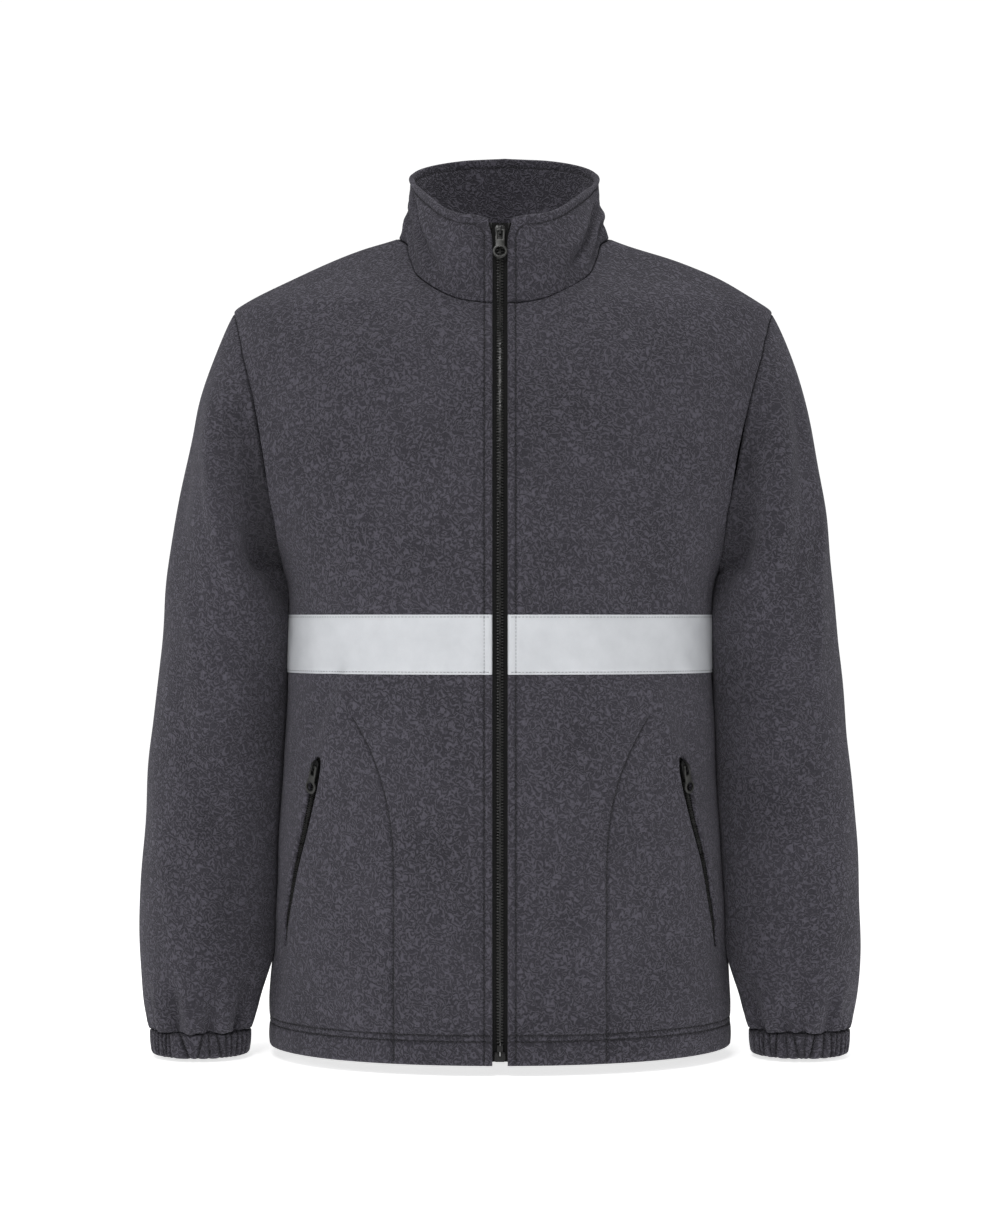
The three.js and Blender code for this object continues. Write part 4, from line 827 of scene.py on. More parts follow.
# The back: one piece of the same fleece from side seam to side seam, hung from both shoulder seams.
# It lies in soft folds below the arms and across the waist, and its hem runs on from the fronts'.
right, left = half_panel(-1, 1), half_panel(1, 1)
outer = np.concatenate([right[0][:, :0:-1], left[0]], 1)
inner = np.concatenate([right[1][:, :0:-1], left[1]], 1)
back = cloth("fleece_back", outer, inner, shade=np.concatenate([right[3][:, :0:-1], left[3]], 1))
back.data.materials.append(fleece)
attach(back, "jacket")
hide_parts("back")
rows = []
for stitch_z in HEM_STITCH_Z:
    for side in (-1, 1):
        angle = np.linspace(90.5, 180, 240)
        rows.append(stitch_row(*on_body(side, 1, np.full(240, stitch_z), angle, np.full(240, -0.55))))
stitches = thread_piece("stitches_back", rows)

# The sleeves: one piece each, set into the armholes under the edge of the body, and gathered into the cuffs.
# They hang with long soft folds from the shoulder to the underarm and short uneven gathers above the cuff.
SLEEVE_CREASES = [
    # side, turn, height, to turn, to height, width, rise
    (-1, 118, -420, 78, -520, 11, -1.4), (-1, 62, -400, 92, -470, 10, 1.2),
    (-1, 140, -500, 112, -600, 12, 1.3),
    (-1, 60, -560, 88, -628, 10, -1.3), (1, 112, -410, 80, -505, 11, -1.3), (1, 66, -430, 96, -500, 10, 1.1),
    (1, 142, -510, 116, -610, 12, 1.3), (1, 64, -556, 90, -622, 10, -1.2),
    (-1, 250, -400, 285, -500, 12, -1.8),
    (-1, 232, -520, 262, -610, 12, 1.6), (-1, 300, -470, 272, -560, 11, 1.4),
    (1, 246, -405, 282, -495, 12, -1.7),
    (1, 236, -510, 264, -600, 12, 1.6), (1, 302, -480, 270, -570, 11, 1.5),
    (-1, 200, -300, 190, -420, 14, -1.2),
    (1, 202, -310, 188, -430, 14, -1.2), (-1, 104, -165, 34, -305, 9, -4.0),
    (-1, 128, -160, 70, -330, 9, 2.4),
    (-1, 150, -240, 118, -400, 10, -1.8), (1, 100, -170, 36, -300, 9, -3.8), (1, 124, -165, 74, -320, 9, 2.2),
    (1, 148, -230, 120, -380, 9, 2.0), (1, 136, -250, 108, -390, 8, -2.2),
    (-1, 256, -170, 326, -300, 10, -3.6),
    (1, 260, -170, 324, -300, 10, -3.4),
]
CUFF_GATHERS = [
    # side, turn, height it reaches, half width in degrees, depth
    (-1, 38, -640, 6, -2.6), (-1, 58, -652, 7, 2.2), (-1, 74, -636, 6, -2.4), (-1, 96, -655, 8, 2.2),
    (-1, 112, -640, 5, -2.6), (-1, 131, -660, 6, 1.8), (-1, 146, -646, 5, -2.0), (1, 34, -646, 6, -2.2),
    (1, 52, -640, 6, 2.0), (1, 70, -656, 6, -2.4), (1, 88, -634, 7, -2.6), (1, 104, -660, 7, 2.2),
    (1, 122, -642, 5, -2.4), (1, 142, -652, 6, -1.8), (-1, 210, -645, 6, -2.3), (-1, 232, -652, 7, 2.0),
    (-1, 250, -638, 6, -2.5), (-1, 272, -655, 7, 2.1), (-1, 292, -642, 6, -2.4), (-1, 318, -652, 6, -1.9),
    (1, 212, -648, 6, -2.3), (1, 230, -655, 7, 2.0), (1, 252, -640, 6, -2.5), (1, 270, -654, 7, 2.2),
    (1, 294, -640, 6, -2.4), (1, 320, -650, 6, -2.0),
]
SLEEVE_COLUMNS = 132


def sleeve_rise(side, turn, points):
    z = points[..., 2]
    rise = 0
    for crease_side, start_turn, start_z, to_turn, to_z, width, height in SLEEVE_CREASES:
        if crease_side == side:
            rise = rise + fold_rise(turn, z, start_turn, start_z, to_turn, to_z, width, height)
    for gather_side, middle, top, half, depth in CUFF_GATHERS:
        if gather_side == side:
            down = np.clip((top - z) / (top - CUFF_TOP_Z), 0, 1)
            spread = half * (1.5 - 0.6 * down)
            rise = rise + 1.5 * depth * np.exp(
                -(((turn - middle) / spread) ** 2)
            ) * np.sin(np.pi * down**0.8 * 0.7)
    small = 0.8 * np.sin(
        np.radians(24 * turn + 60 * np.sin(np.radians(3 * turn)))
    ) * np.exp(-(((z - CUFF_TOP_Z) / 11) ** 2))
    return rise + small


def against_body(side, turn, points):
    """How far the sleeve's inner side leans over to lie against the body, below the underarm."""
    x, y, z = np.moveaxis(points, -1, 0)
    body = body_point(side, z, np.degrees(np.arctan2(side * x, -y)))
    reach = np.hypot(body[..., 0], body[..., 1]) + body_rise(side, False, body)
    gap = np.hypot(x, y) - reach - swell(points) + 1.5
    beside = (turn + 180) % 360 - 180
    spread = 40 + 18 * ease((z - UNDERARM_Z + 70) / 50)
    share = np.exp(-((beside / spread) ** 2)) * ease((z + 668) / 50) * ease((UNDERARM_Z + 12 - z) / 10)
    return np.clip(gap, -3, 13) * share


def fold_shade(side, turn, points, from_armhole):
    """Painted shade: the gloom in the fold beside the armhole, widening to the underarm, and along the body
    below it, painted stronger on the right sleeve than on the left.
    """
    z = points[..., 2]
    low = ease((-120 - z) / 150)
    in_front = (turn < 180) * ease((190 - turn) / 60)
    beside = (turn + 180) % 360 - 180
    fold = np.exp(-((from_armhole / mix(4, 24, low)) ** 2)) * low * np.where(turn < 180, in_front, 0.5)
    contact = np.exp(-((beside / 32) ** 2)) * ease((UNDERARM_Z + 20 - z) / 30) * ease((z + 650) / 40)
    return (1.0 if side < 0 else 0.6) * np.maximum(fold, 0.85 * contact)


for side, word in ((-1, "right"), (1, "left")):
    cap = lines_between(0, 268, 3.2, (0,)) / 268
    arm = lines_between(CUFF_TOP_Z + SEAM_GAP, SLEEVE_START_Z, 3.2, (CUFF_TOP_Z + SEAM_GAP,))[::-1][1:]
    down = np.concatenate([cap, 1 + (arm - SLEEVE_START_Z) / (CUFF_TOP_Z - SLEEVE_START_Z)])[:, None]
    turn = (np.arange(SLEEVE_COLUMNS) * 360 / SLEEVE_COLUMNS)[None]
    points = sleeve_point(side, down, turn)
    normal = sleeve_normal(side, down, turn)
    _, _, from_armhole, from_cuff = distances(points)
    on_back = turn[0] > 180
    lean = armhole_lean(side, np.where(on_back, turn[0] - 180, 180 - turn[0]), on_back)[None]
    lean = unit(mix(lean, normal, ease(from_armhole / 8)[..., None]))
    soft = swell(points) + sleeve_rise(side, turn, points) * ease(from_armhole / 14)
    low = ease((-130 - points[..., 2]) / 120)
    soft = soft - 4.5 * low * np.exp(-(((from_armhole - 9) / 10) ** 2)) * ((turn > 75) & (turn < 180))
    press = against_body(side, turn, points) * ease(from_armhole / 2)
    crisp = rounded(from_armhole, 1.8) - 0.9 * np.exp(-from_armhole / 6) + rounded(from_cuff, 2.0)
    crisp = crisp - 0.35 * np.exp(-from_armhole / 7) * np.sin(np.radians(turn) * 31)
    plain = points + normal * soft[..., None] - press[..., None] * (side, 0, 0)
    outer = plain + normal * crisp[..., None]
    inner = plain - lean * FLEECE
    inner[-1, :, 2] = outer[-1, :, 2]
    for grid in (outer, inner):
        grid[0] += unit(grid[1] - grid[0]) * SEAM_GAP / 2
    # Painted shade: darker at the armhole and cuff seams, in the fold beside the armhole, where the sleeve
    # lies against the body, and in the sunken folds.
    shade_paint = 0.9 * np.exp(-((from_armhole / 1.6) ** 2)) + 0.7 * np.exp(-((from_cuff / 1.2) ** 2))
    shade_paint = np.maximum(shade_paint, fold_shade(side, turn, points, from_armhole)) + np.clip(-0.045 * soft, 0, 0.25)
    sleeve = cloth(f"fleece_sleeve_{word}", outer, inner, ring=True, shade=np.clip(shade_paint, 0, 1))
    sleeve.data.materials.append(fleece)
    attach(sleeve, "jacket")
    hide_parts(f"sleeve_{word}")

# The cuffs: a doubled strip of the fleece over elastic, which draws it up into uneven upright ribs.
# It is sewn to the gathered end of the sleeve, and its bottom edge is the fold.
CUFF_BOTTOM_Z = -713.5
CUFF_COLUMNS = 420
CUFF_ROWS = 20


CUFF_VALLEYS = [
    # side, turn at the seam, turn at the edge, depth
    (-1, 19, 20, 1.8), (-1, 29, 28, 2.2), (-1, 37, 38, 2.4), (-1, 47, 45, 2.6), (-1, 55, 52, 2.2),
    (-1, 66, 59, 3.0),
    (-1, 75, 74, 2.0), (-1, 82, 88, 3.1), (-1, 109, 98, 3.2), (-1, 123, 122, 2.2), (-1, 128, 129, 2.8),
    (-1, 134, 134, 2.4), (-1, 141, 143, 2.6), (-1, 149, 149, 2.2), (-1, 158, 160, 2.0),
    (1, 21, 20, 1.9), (1, 31, 32, 2.3), (1, 39, 38, 2.5), (1, 48, 49, 2.2), (1, 58, 55, 2.9),
    (1, 69, 71, 2.3),
    (1, 78, 84, 3.1), (1, 92, 90, 2.0), (1, 103, 97, 3.0), (1, 114, 113, 2.4), (1, 124, 126, 2.9),
    (1, 133, 132, 2.3),
    (1, 141, 141, 2.5), (1, 150, 152, 2.2), (1, 160, 159, 2.0),
    (-1, 172, 170, 2.4), (-1, 186, 187, 2.2), (-1, 199, 196, 2.8), (-1, 211, 213, 2.4), (-1, 222, 221, 2.6),
    (-1, 236, 231, 3.0), (-1, 246, 247, 2.2), (-1, 259, 262, 2.8), (-1, 275, 271, 3.1), (-1, 286, 287, 2.3),
    (-1, 298, 301, 2.7), (-1, 312, 310, 2.4), (-1, 324, 325, 2.6), (-1, 338, 336, 2.2), (-1, 351, 352, 2.4),
    (1, 174, 175, 2.3), (1, 187, 184, 2.6), (1, 201, 203, 2.4), (1, 213, 212, 2.8), (1, 226, 229, 2.5),
    (1, 238, 235, 3.0),
    (1, 251, 252, 2.3), (1, 262, 266, 2.9), (1, 277, 276, 2.5), (1, 289, 285, 2.8), (1, 301, 302, 2.3),
    (1, 315, 317, 2.7),
    (1, 327, 326, 2.4), (1, 340, 342, 2.6), (1, 353, 352, 2.2),
]


def cuff_valleys(side, turn, down):
    """How deep a place on the cuff lies in the valleys between its ribs, in millimetres."""
    deep = 0 * (turn + down)
    for valley_side, at_seam, at_edge, depth in CUFF_VALLEYS:
        if valley_side == side:
            away = np.radians((turn - mix(at_seam, at_edge, down) + 180) % 360 - 180) * 41
            sharp = np.exp(-((away / 0.95) ** 2))
            deep = np.maximum(deep, depth * (0.72 * sharp + 0.28 * np.exp(-((away / 2.4) ** 2))))
    return deep


for side, word in ((-1, "right"), (1, "left")):
    down = np.linspace(0, 1, CUFF_ROWS)[:, None] ** 0.92
    turn = (np.arange(CUFF_COLUMNS) * 360 / CUFF_COLUMNS)[None]
    z = mix(CUFF_TOP_Z, CUFF_BOTTOM_Z, down)
    deep = cuff_valleys(side, turn, down)
    swollen = np.sin(np.pi * np.clip(down * 0.9 + 0.08, 0, 1))
    rise = 0.5 - deep * (0.75 + 0.25 * swollen) + 0.9 * swollen
    from_bottom = (z - CUFF_BOTTOM_Z) + 0 * turn
    from_top = (CUFF_TOP_Z - z) + 0 * turn
    rise = rise + rounded(from_bottom, 3.6) + rounded(from_top, 1.6)

    def cuff_place(grow, z):
        half_width, half_depth = mix(43.4, 41.6, down) + grow, mix(39.8, 37.6, down) + grow
        x = side * (261 - half_width * np.cos(np.radians(turn)))
        return np.stack([x, -23 - half_depth * np.sin(np.radians(turn)), z + 0 * turn], -1)

    scallop = 0.35 * deep * np.clip((down - 0.6) / 0.4, 0, 1)
    outer = cuff_place(rise, z + scallop)
    inner = cuff_place(-DOUBLE_FLEECE + 0.3 * np.sin(np.radians(46 * turn)) + 0 * rise, z + scallop * 0.5)
    # Painted shade: darker in the valleys between the ribs and along the seam to the sleeve.
    shade_paint = 0.45 * deep + 0.7 * np.exp(-((from_top / 1.3) ** 2))
    cuff = cloth(f"fleece_cuff_{word}", outer, inner, ring=True, shade=np.clip(shade_paint, 0, 1))
    cuff.data.materials.append(fleece)
    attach(cuff, "jacket")
    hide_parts(f"cuff_{word}")

# The collar: a strip of the fleece folded double along its top, sewn round the neck and stitched 8 mm down.
# It stands up, leans back, and drops into slanting folds on both sides, where the shoulders push it up.
COLLAR_HEIGHT = 70
COLLAR_STITCH = 8
COLLAR_CORNER = 7
COLLAR_CREASES = [
    # side, angle, up, to angle, to up, width, rise
    (-1, 90, 0.52, 62, 0.08, 5, -2.6), (-1, 98, 0.44, 76, 0.06, 5, 1.8), (-1, 86, 0.78, 44, 0.3, 5, -2.3),
    (-1, 80, 0.94, 38, 0.44, 5, 1.7), (-1, 74, 0.46, 50, 0.18, 6, 1.4), (-1, 30, 0.2, 24, 0.66, 6, 0.9),
    (-1, 112, 0.7, 96, 0.2, 7, -1.8), (-1, 126, 0.2, 142, 0.7, 9, 1.3), (-1, 160, 0.2, 172, 0.7, 10, -1.0),
    (1, 95, 0.6, 52, 0.3, 5, -2.6), (1, 88, 0.78, 44, 0.46, 5, 1.8), (1, 92, 0.3, 66, 0.1, 5, -2.0),
    (1, 99, 0.46, 72, 0.22, 5, 1.5), (1, 26, 0.2, 32, 0.7, 6, 0.9), (1, 114, 0.75, 98, 0.2, 7, -1.8),
    (1, 128, 0.2, 146, 0.65, 9, 1.3), (1, 152, 0.25, 168, 0.75, 10, 0.9),
]


def collar_open(up):
    """The angle of the collar's zip edge: its top spreads apart a little."""
    return mix(zip_edge(np.array(-65.0)), np.degrees(10.5 / 78), ease((up - 0.72) / 0.28))


def collar_places(share, up):
    """Angles of collar columns: share is 0 at the zip edge, 0.5 at the side and 1 at the centre back."""
    return np.where(share < 0.5, mix(collar_open(up), 90, share * 2), 90 * share * 2)


def collar_rise(side, angle, up, points):
    rise = 0
    for crease_side, x, y, to_x, to_y, width, height in COLLAR_CREASES:
        if crease_side == side:
            rise = rise + fold_rise(
                angle, up * COLLAR_ROW, x, y * COLLAR_ROW, to_x, to_y * COLLAR_ROW, width, height
            )
    return swell(points) + rise * np.sin(np.pi * np.clip(up, 0, 1)) ** 0.5


def collar_stitch_distance(angle, up):
    """Signed distance from the topstitching, which turns a round corner from the zip edge to the top."""
    from_zip = np.radians(angle - collar_open(up)) * 78 - 6.8
    from_top = (1 - up) * COLLAR_HEIGHT - COLLAR_STITCH
    corner = COLLAR_CORNER - np.hypot(
        np.maximum(COLLAR_CORNER - from_zip, 0), np.maximum(COLLAR_CORNER - from_top, 0)
    )
    near = (from_zip < COLLAR_CORNER) & (from_top < COLLAR_CORNER)
    return np.where(near, corner, np.minimum(from_zip, from_top))


def half_collar(side):
    share = lines_between(0, 240, 2.8, (0, 6.8, 238))[:, None].T / 240
    up = lines_between(
        0, COLLAR_HEIGHT, 2.8, (0, COLLAR_HEIGHT - COLLAR_STITCH, COLLAR_HEIGHT)
    )[:, None] / COLLAR_HEIGHT
    angle = collar_places(share, up)
    up = up + 0 * share
    points = collar_point(side, angle, up)
    normal = collar_normal(side, angle, up)
    from_zip, _, from_neck, from_top = distances(points)
    lean = unit(mix(neck_lean(side, angle[0])[None], normal, ease(from_neck / 8)[..., None]))
    full = mix(FLEECE, DOUBLE_FLEECE, ease((share * 16 - 1) / 2)) + 0 * up
    soft = collar_rise(side, angle, up, points)
    off = collar_stitch_distance(angle, up)
    puff = 0.45 * np.exp(-(((off + 4.2) / 2.6) ** 2))
    top = np.sqrt(
        np.clip(1 - (1 - np.clip(from_top / (0.5 * full), 0, 1)) ** 2, 0, 1)
    ) * 0.5 * full - 0.5 * full
    crisp = rounded(from_neck, 1.6) + top + rounded(from_zip, 1.3) + groove(off, 1.0, 1.05) + puff
    thickness = full + top + groove(off, 0.5, 1.3) * (angle > 20)
    outer = points + normal * (soft + crisp)[..., None]
    inner = points + normal * soft[..., None] - lean * thickness[..., None]
    for grid in (outer, inner):
        grid[0] += unit(grid[1] - grid[0]) * SEAM_GAP / 2
    # Painted shade: darker along the neck seam, in the stitch groove and in the collar's sunken folds.
    shade_paint = 0.2 * np.exp(-((from_neck / 1.0) ** 2)) - groove(off, 0.8, 0.95) + np.clip(-0.13 * soft, 0, 0.4)
    return outer, inner, np.clip(shade_paint, 0, 1)


right, left = half_collar(-1), half_collar(1)
outer, inner, shade_paint = (np.concatenate([r, l[:, -2::-1]], 1) for r, l in zip(right, left))
collar = cloth("fleece_collar", outer, inner, shade=shade_paint)
collar.data.materials.append(fleece)
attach(collar, "jacket")
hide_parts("collar")
rows = []
for side in (-1, 1):
    bend = np.radians(np.linspace(0, 90, 14))
    corner_zip = 6.8 + COLLAR_CORNER * (1 - np.cos(bend))
    corner_top = COLLAR_STITCH + COLLAR_CORNER * (1 - np.sin(bend))
    up = np.concatenate([np.linspace(0.03, 1 - (COLLAR_STITCH + COLLAR_CORNER) / COLLAR_HEIGHT, 40)[:-1],
                         1 - corner_top / COLLAR_HEIGHT, np.full(160, 1 - COLLAR_STITCH / COLLAR_HEIGHT)])
    first = collar_open(up)
    angle = first + np.degrees(np.concatenate([np.full(39, 6.8), corner_zip, np.full(160, 0)]) / 78)
    angle[-160:] = np.linspace(angle[-161] + 0.8, 180, 160)
    points = collar_point(side, angle, up)
    normal = collar_normal(side, angle, up)
    soft = collar_rise(side, angle, up, points)
    rows.append(stitch_row(points + normal * (soft - 0.6)[:, None], normal))
    keep = angle > 24
    under = DOUBLE_FLEECE - 0.25
    rows.append(stitch_row((points + normal * (soft - under)[:, None])[keep], -normal[keep]))
stitches = thread_piece("stitches_collar", rows)

# The pocket bags: a flat piece of thinner fleece behind each front, held by the curved stitch line and hem.
POCKET_TAPE_DEPTH = 3.35
BAG_THICKNESS = 1.6
for side, word in ((-1, "right"), (1, "left")):
    z = np.linspace(-676, -424, 46)[:, None]
    reach = np.hypot(*np.moveaxis(body_point(1, z, 45.0)[..., :2], -1, 0))
    start = np.degrees(np.arcsin(np.minimum(0.95, bag_edge(z) / reach)))
    angle = mix(start, 87, np.linspace(0, 1, 26)[None])
    points, normal = on_body(side, 0, z + 0 * angle, angle, 0 * angle - POCKET_TAPE_DEPTH - 1.7)
    bag = cloth(f"fleece_pocket_bag_{word}", points, points - normal * BAG_THICKNESS)
    bag.data.materials.append(fleece)
    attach(bag, "jacket")
    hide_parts(f"pocket_bag_{word}")

# The reflective band: 50 mm silver-grey tape, a woven backing under a skin of glass beads, sewn on flat
# with dark grey thread 2 mm inside both edges. It runs level round the chest, below the arms.
BAND_LIFT = 0.9
BAND_THICKNESS = 0.6
BAND_STITCH_INSET = 2.0

beads, given, out = effect("glass_beads", [("Place", "Vector", None), ("Grain per Metre", "Float", 2600.0)],
                           [("Tone", "Float"), ("Height", "Float")])
grain = add_node(beads, "TexVoronoi", {"Vector": given["Place"], "Scale": given["Grain per Metre"]})
cloud = add_node(
    beads, "TexNoise", {"Vector": given["Place"], "Scale": 55.0, "Detail": 4.0, "Roughness": 0.6}
)
both = add_node(
    beads, "Math", {0: grain.outputs["Distance"], 1: 0.35, 2: cloud.outputs["Fac"]},
    operation="MULTIPLY_ADD"
)
beads.links.new(both.outputs[0], out["Tone"])
beads.links.new(grain.outputs["Distance"], out["Height"])

reflective, tree, shader, place = material("reflective_tape", 0.5, 0.25)
skin = group_node(tree, beads, {"Place": place})
tone = add_node(tree, "Mix", {"Factor": skin["Tone"],
                              "A": (0.46, 0.475, 0.50, 1), "B": (0.60, 0.615, 0.64, 1)},
                data_type="RGBA")
tree.links.new(tone.outputs["Result"], shader.inputs["Base Color"])
rough = add_node(tree, "MapRange", {"Value": skin["Tone"], "To Min": 0.42, "To Max": 0.62})
tree.links.new(rough.outputs["Result"], shader.inputs["Roughness"])
relief = add_node(tree, "Bump", {"Height": skin["Height"], "Strength": 0.25, "Distance": 0.0002})
tree.links.new(relief.outputs["Normal"], shader.inputs["Normal"])

band_thread = thread.copy()
band_thread.name = "band_thread"
mixing = next(n for n in band_thread.node_tree.nodes if n.bl_idname == "ShaderNodeMix")
mixing.inputs["A"].default_value = (0.13, 0.13, 0.14, 1)
mixing.inputs["B"].default_value = (0.22, 0.22, 0.235, 1)


def band_grid(side, on_back, z, share):
    edge = 180.0 if on_back else zip_edge(z)
    angle = mix(edge, 90, share)
    points = body_point(side, z + 0 * angle, angle)
    normal = body_normal(side, z + 0 * angle, angle)
    from_first, from_last, _, _ = distances(points)
    rise = body_rise(side, on_back, points) + rounded(from_last, 1.5)
    for edge_z in BAND_Z:
        inset = np.abs(z - edge_z) - BAND_STITCH_INSET
        rise = rise + groove(inset, 0.3, 1.0)
        rise = rise - 0.25 * np.exp(-np.abs(z - edge_z) / 1.0)
    pucker = np.exp(-(((np.minimum(np.abs(z - BAND_Z[0]), np.abs(z - BAND_Z[1])) - 5) / 5) ** 2))
    rise = rise + 0.12 * pucker * np.sin(np.radians(angle) * BODY_REACH / 3.1)
    if not on_back:
        rise = rise + groove(side * points[..., 0] - ZIP_STITCH_X, 0.45, 1.2) + rounded(from_first, 2.0)
    outer = points + normal * (rise + BAND_LIFT)[..., None]
    inner = points + normal * (rise + BAND_LIFT - BAND_THICKNESS)[..., None]
    for grid in (outer, inner):
        grid[:, -1] += unit(grid[:, -2] - grid[:, -1]) * SEAM_GAP / 2
    return outer, inner


def band_stitches(side, on_back):
    rows = []
    for edge_z, inward in ((BAND_Z[0], 1), (BAND_Z[1], -1)):
        z = np.full(300, edge_z + inward * BAND_STITCH_INSET)
        angle = np.linspace(180 if on_back else zip_edge(z[0]) + 1, 90.6 if on_back else 89.4, 300)
        rows.append(stitch_row(*on_body(side, on_back, z, angle, 0 * z + BAND_LIFT - 0.25), thick=0.24))
    return rows


band_z = lines_between(*BAND_Z, 3.0, (BAND_Z[0], BAND_Z[1], BAND_Z[0] + 2, BAND_Z[1] - 2))[:, None]
front_share = lines_between(0, 258, 2.6, (0, 6.8, 258))[None] / 258
back_share = lines_between(0, 250, 2.6, (0, 250))[None] / 250
for side, word in ((-1, "right"), (1, "left")):
    band = cloth(f"tape_band_front_{word}", *band_grid(side, 0, band_z, front_share))
    band.data.materials.append(reflective)
    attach(band, "jacket")
    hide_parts(f"band_front_{word}")
    rows = band_stitches(side, 0)
    z = np.linspace(BAND_Z[0] + 1, BAND_Z[1] - 1, 40)
    angle = np.degrees(np.arcsin(ZIP_STITCH_X / -body_point(1, z, 0)[:, 1]))
    rows.append(stitch_row(*on_body(side, 0, z, angle, 0 * z + BAND_LIFT - 0.35), thick=0.24))
    stitches = thread_piece(f"stitches_band_front_{word}", rows)
    stitches.data.materials[0] = band_thread
right, left = band_grid(-1, 1, band_z, back_share), band_grid(1, 1, band_z, back_share)
band = cloth("tape_band_back", *(np.concatenate([r[:, :0:-1], l], 1) for r, l in zip(right, left)))
band.data.materials.append(reflective)
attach(band, "jacket")
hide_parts("band_back")
stitches = thread_piece("stitches_band_back", band_stitches(-1, 1) + band_stitches(1, 1))
stitches.data.materials[0] = band_thread

# The front zip: a 5 mm moulded zip. Each side is a woven tape, with the teeth moulded on its corded edge.
# The tapes are sewn behind the fronts' folded edges, and a box and pin at the hem let the two sides part.
TAPE_THICKNESS = 0.8
TAPE_REACH = 13
CHAIN_THICKNESS = 1.9
TEETH_Z = (-689.5, -15.4)
TOOTH_PITCH = 2.54
TOOTH = np.array([
    # across from the chain's middle, half its height along the zip: from the root round the head
    (-2.9, 0.42), (-2.7, 0.62), (-1.3, 0.66), (-0.62, 0.40), (-0.15, 0.46), (0.12, 0.62), (0.55, 0.58),
    (0.86, 0.28),
])
NECK_BASE_Y = float(body_point(1, NECK_FRONT_Z, 0)[1])

weave, given, out = effect(
    "weave",
    [("Place", "Vector", None), ("Threads per Metre", "Float", 1500.0),
     ("Dark", "Color", (0.006, 0.006, 0.006, 1)),
     ("Light", "Color", (0.013, 0.013, 0.013, 1))],
    [("Color", "Color"), ("Height", "Float")],
)
axes = add_node(weave, "SeparateXYZ", {"Vector": given["Place"]})
turns = add_node(weave, "Math", {0: given["Threads per Metre"], 1: math.tau}, operation="MULTIPLY")
warp = add_node(weave, "Math", {0: axes.outputs["X"], 1: turns.outputs[0]}, operation="MULTIPLY")
warp = add_node(weave, "Math", {0: warp.outputs[0]}, operation="SINE")
weft = add_node(weave, "Math", {0: axes.outputs["Z"], 1: turns.outputs[0]}, operation="MULTIPLY")
weft = add_node(weave, "Math", {0: weft.outputs[0]}, operation="SINE")
over = add_node(weave, "Math", {0: warp.outputs[0], 1: weft.outputs[0]}, operation="MULTIPLY")
fuzz = add_node(weave, "TexNoise", {"Vector": given["Place"], "Scale": 700.0, "Detail": 2.0})
raised = add_node(
    weave, "Math", {0: over.outputs[0], 1: 0.4, 2: fuzz.outputs["Fac"]}, operation="MULTIPLY_ADD"
)
tone = add_node(
    weave, "Mix", {"Factor": raised.outputs[0], "A": given["Dark"], "B": given["Light"]}, data_type="RGBA"
)
weave.links.new(tone.outputs["Result"], out["Color"])
weave.links.new(raised.outputs[0], out["Height"])

zip_tape, tree, shader, place = material("zip_tape", 0.85)
woven = group_node(tree, weave, {"Place": place})
tree.links.new(woven["Color"], shader.inputs["Base Color"])
relief = add_node(tree, "Bump", {"Height": woven["Height"], "Strength": 0.5, "Distance": 0.0003})
tree.links.new(relief.outputs["Normal"], shader.inputs["Normal"])
shader.inputs["Specular IOR Level"].default_value = 0.12

worn, given, out = effect(
    "worn_finish",
    [("Place", "Vector", None), ("Speckle per Metre", "Float", 900.0),
     ("Dark", "Color", (0.01, 0.01, 0.01, 1)),
     ("Light", "Color", (0.03, 0.03, 0.03, 1)), ("Smooth", "Float", 0.3), ("Rough", "Float", 0.5)],
    [("Color", "Color"), ("Roughness", "Float"), ("Height", "Float")],
)
speckle = add_node(
    worn, "TexNoise", {"Vector": given["Place"], "Scale": given["Speckle per Metre"], "Detail": 3.0}
)
stain = add_node(worn, "TexNoise", {"Vector": given["Place"], "Scale": 160.0, "Detail": 2.0})
mixed = add_node(worn, "Math", {0: speckle.outputs["Fac"], 1: stain.outputs["Fac"]}, operation="MULTIPLY")
mixed = add_node(worn, "MapRange", {"Value": mixed.outputs[0], "From Min": 0.12, "From Max": 0.4})
tone = add_node(
    worn, "Mix", {"Factor": mixed.outputs[0], "A": given["Dark"], "B": given["Light"]}, data_type="RGBA"
)
worn.links.new(tone.outputs["Result"], out["Color"])
dull = add_node(
    worn, "MapRange", {"Value": mixed.outputs[0], "To Min": given["Smooth"], "To Max": given["Rough"]}
)
worn.links.new(dull.outputs["Result"], out["Roughness"])
worn.links.new(speckle.outputs["Fac"], out["Height"])


def worn_material(name, metallic, dark, light, smooth, rough, bump):
    made, tree, shader, place = material(name, smooth, metallic)
    look = group_node(
        tree, worn, {"Place": place, "Dark": dark, "Light": light, "Smooth": smooth, "Rough": rough}
    )
    tree.links.new(look["Color"], shader.inputs["Base Color"])
    tree.links.new(look["Roughness"], shader.inputs["Roughness"])
    relief = add_node(tree, "Bump", {"Height": look["Height"], "Strength": bump, "Distance": 0.0002})
    tree.links.new(relief.outputs["Normal"], shader.inputs["Normal"])
    return made


moulded = worn_material(
    "moulded_teeth", 0, (0.008, 0.008, 0.0075, 1), (0.018, 0.018, 0.017, 1), 0.22, 0.42, 0.15
)
gunmetal = worn_material(
    "gunmetal_enamel", 0.3, (0.016, 0.016, 0.015, 1), (0.036, 0.036, 0.034, 1), 0.3, 0.46, 0.12
)
black_enamel = worn_material(
    "black_enamel", 0.0, (0.003, 0.003, 0.003, 1), (0.008, 0.008, 0.0078, 1), 0.26, 0.42, 0.12
)
black_enamel.node_tree.nodes["Principled BSDF"].inputs["Specular IOR Level"].default_value = 0.3


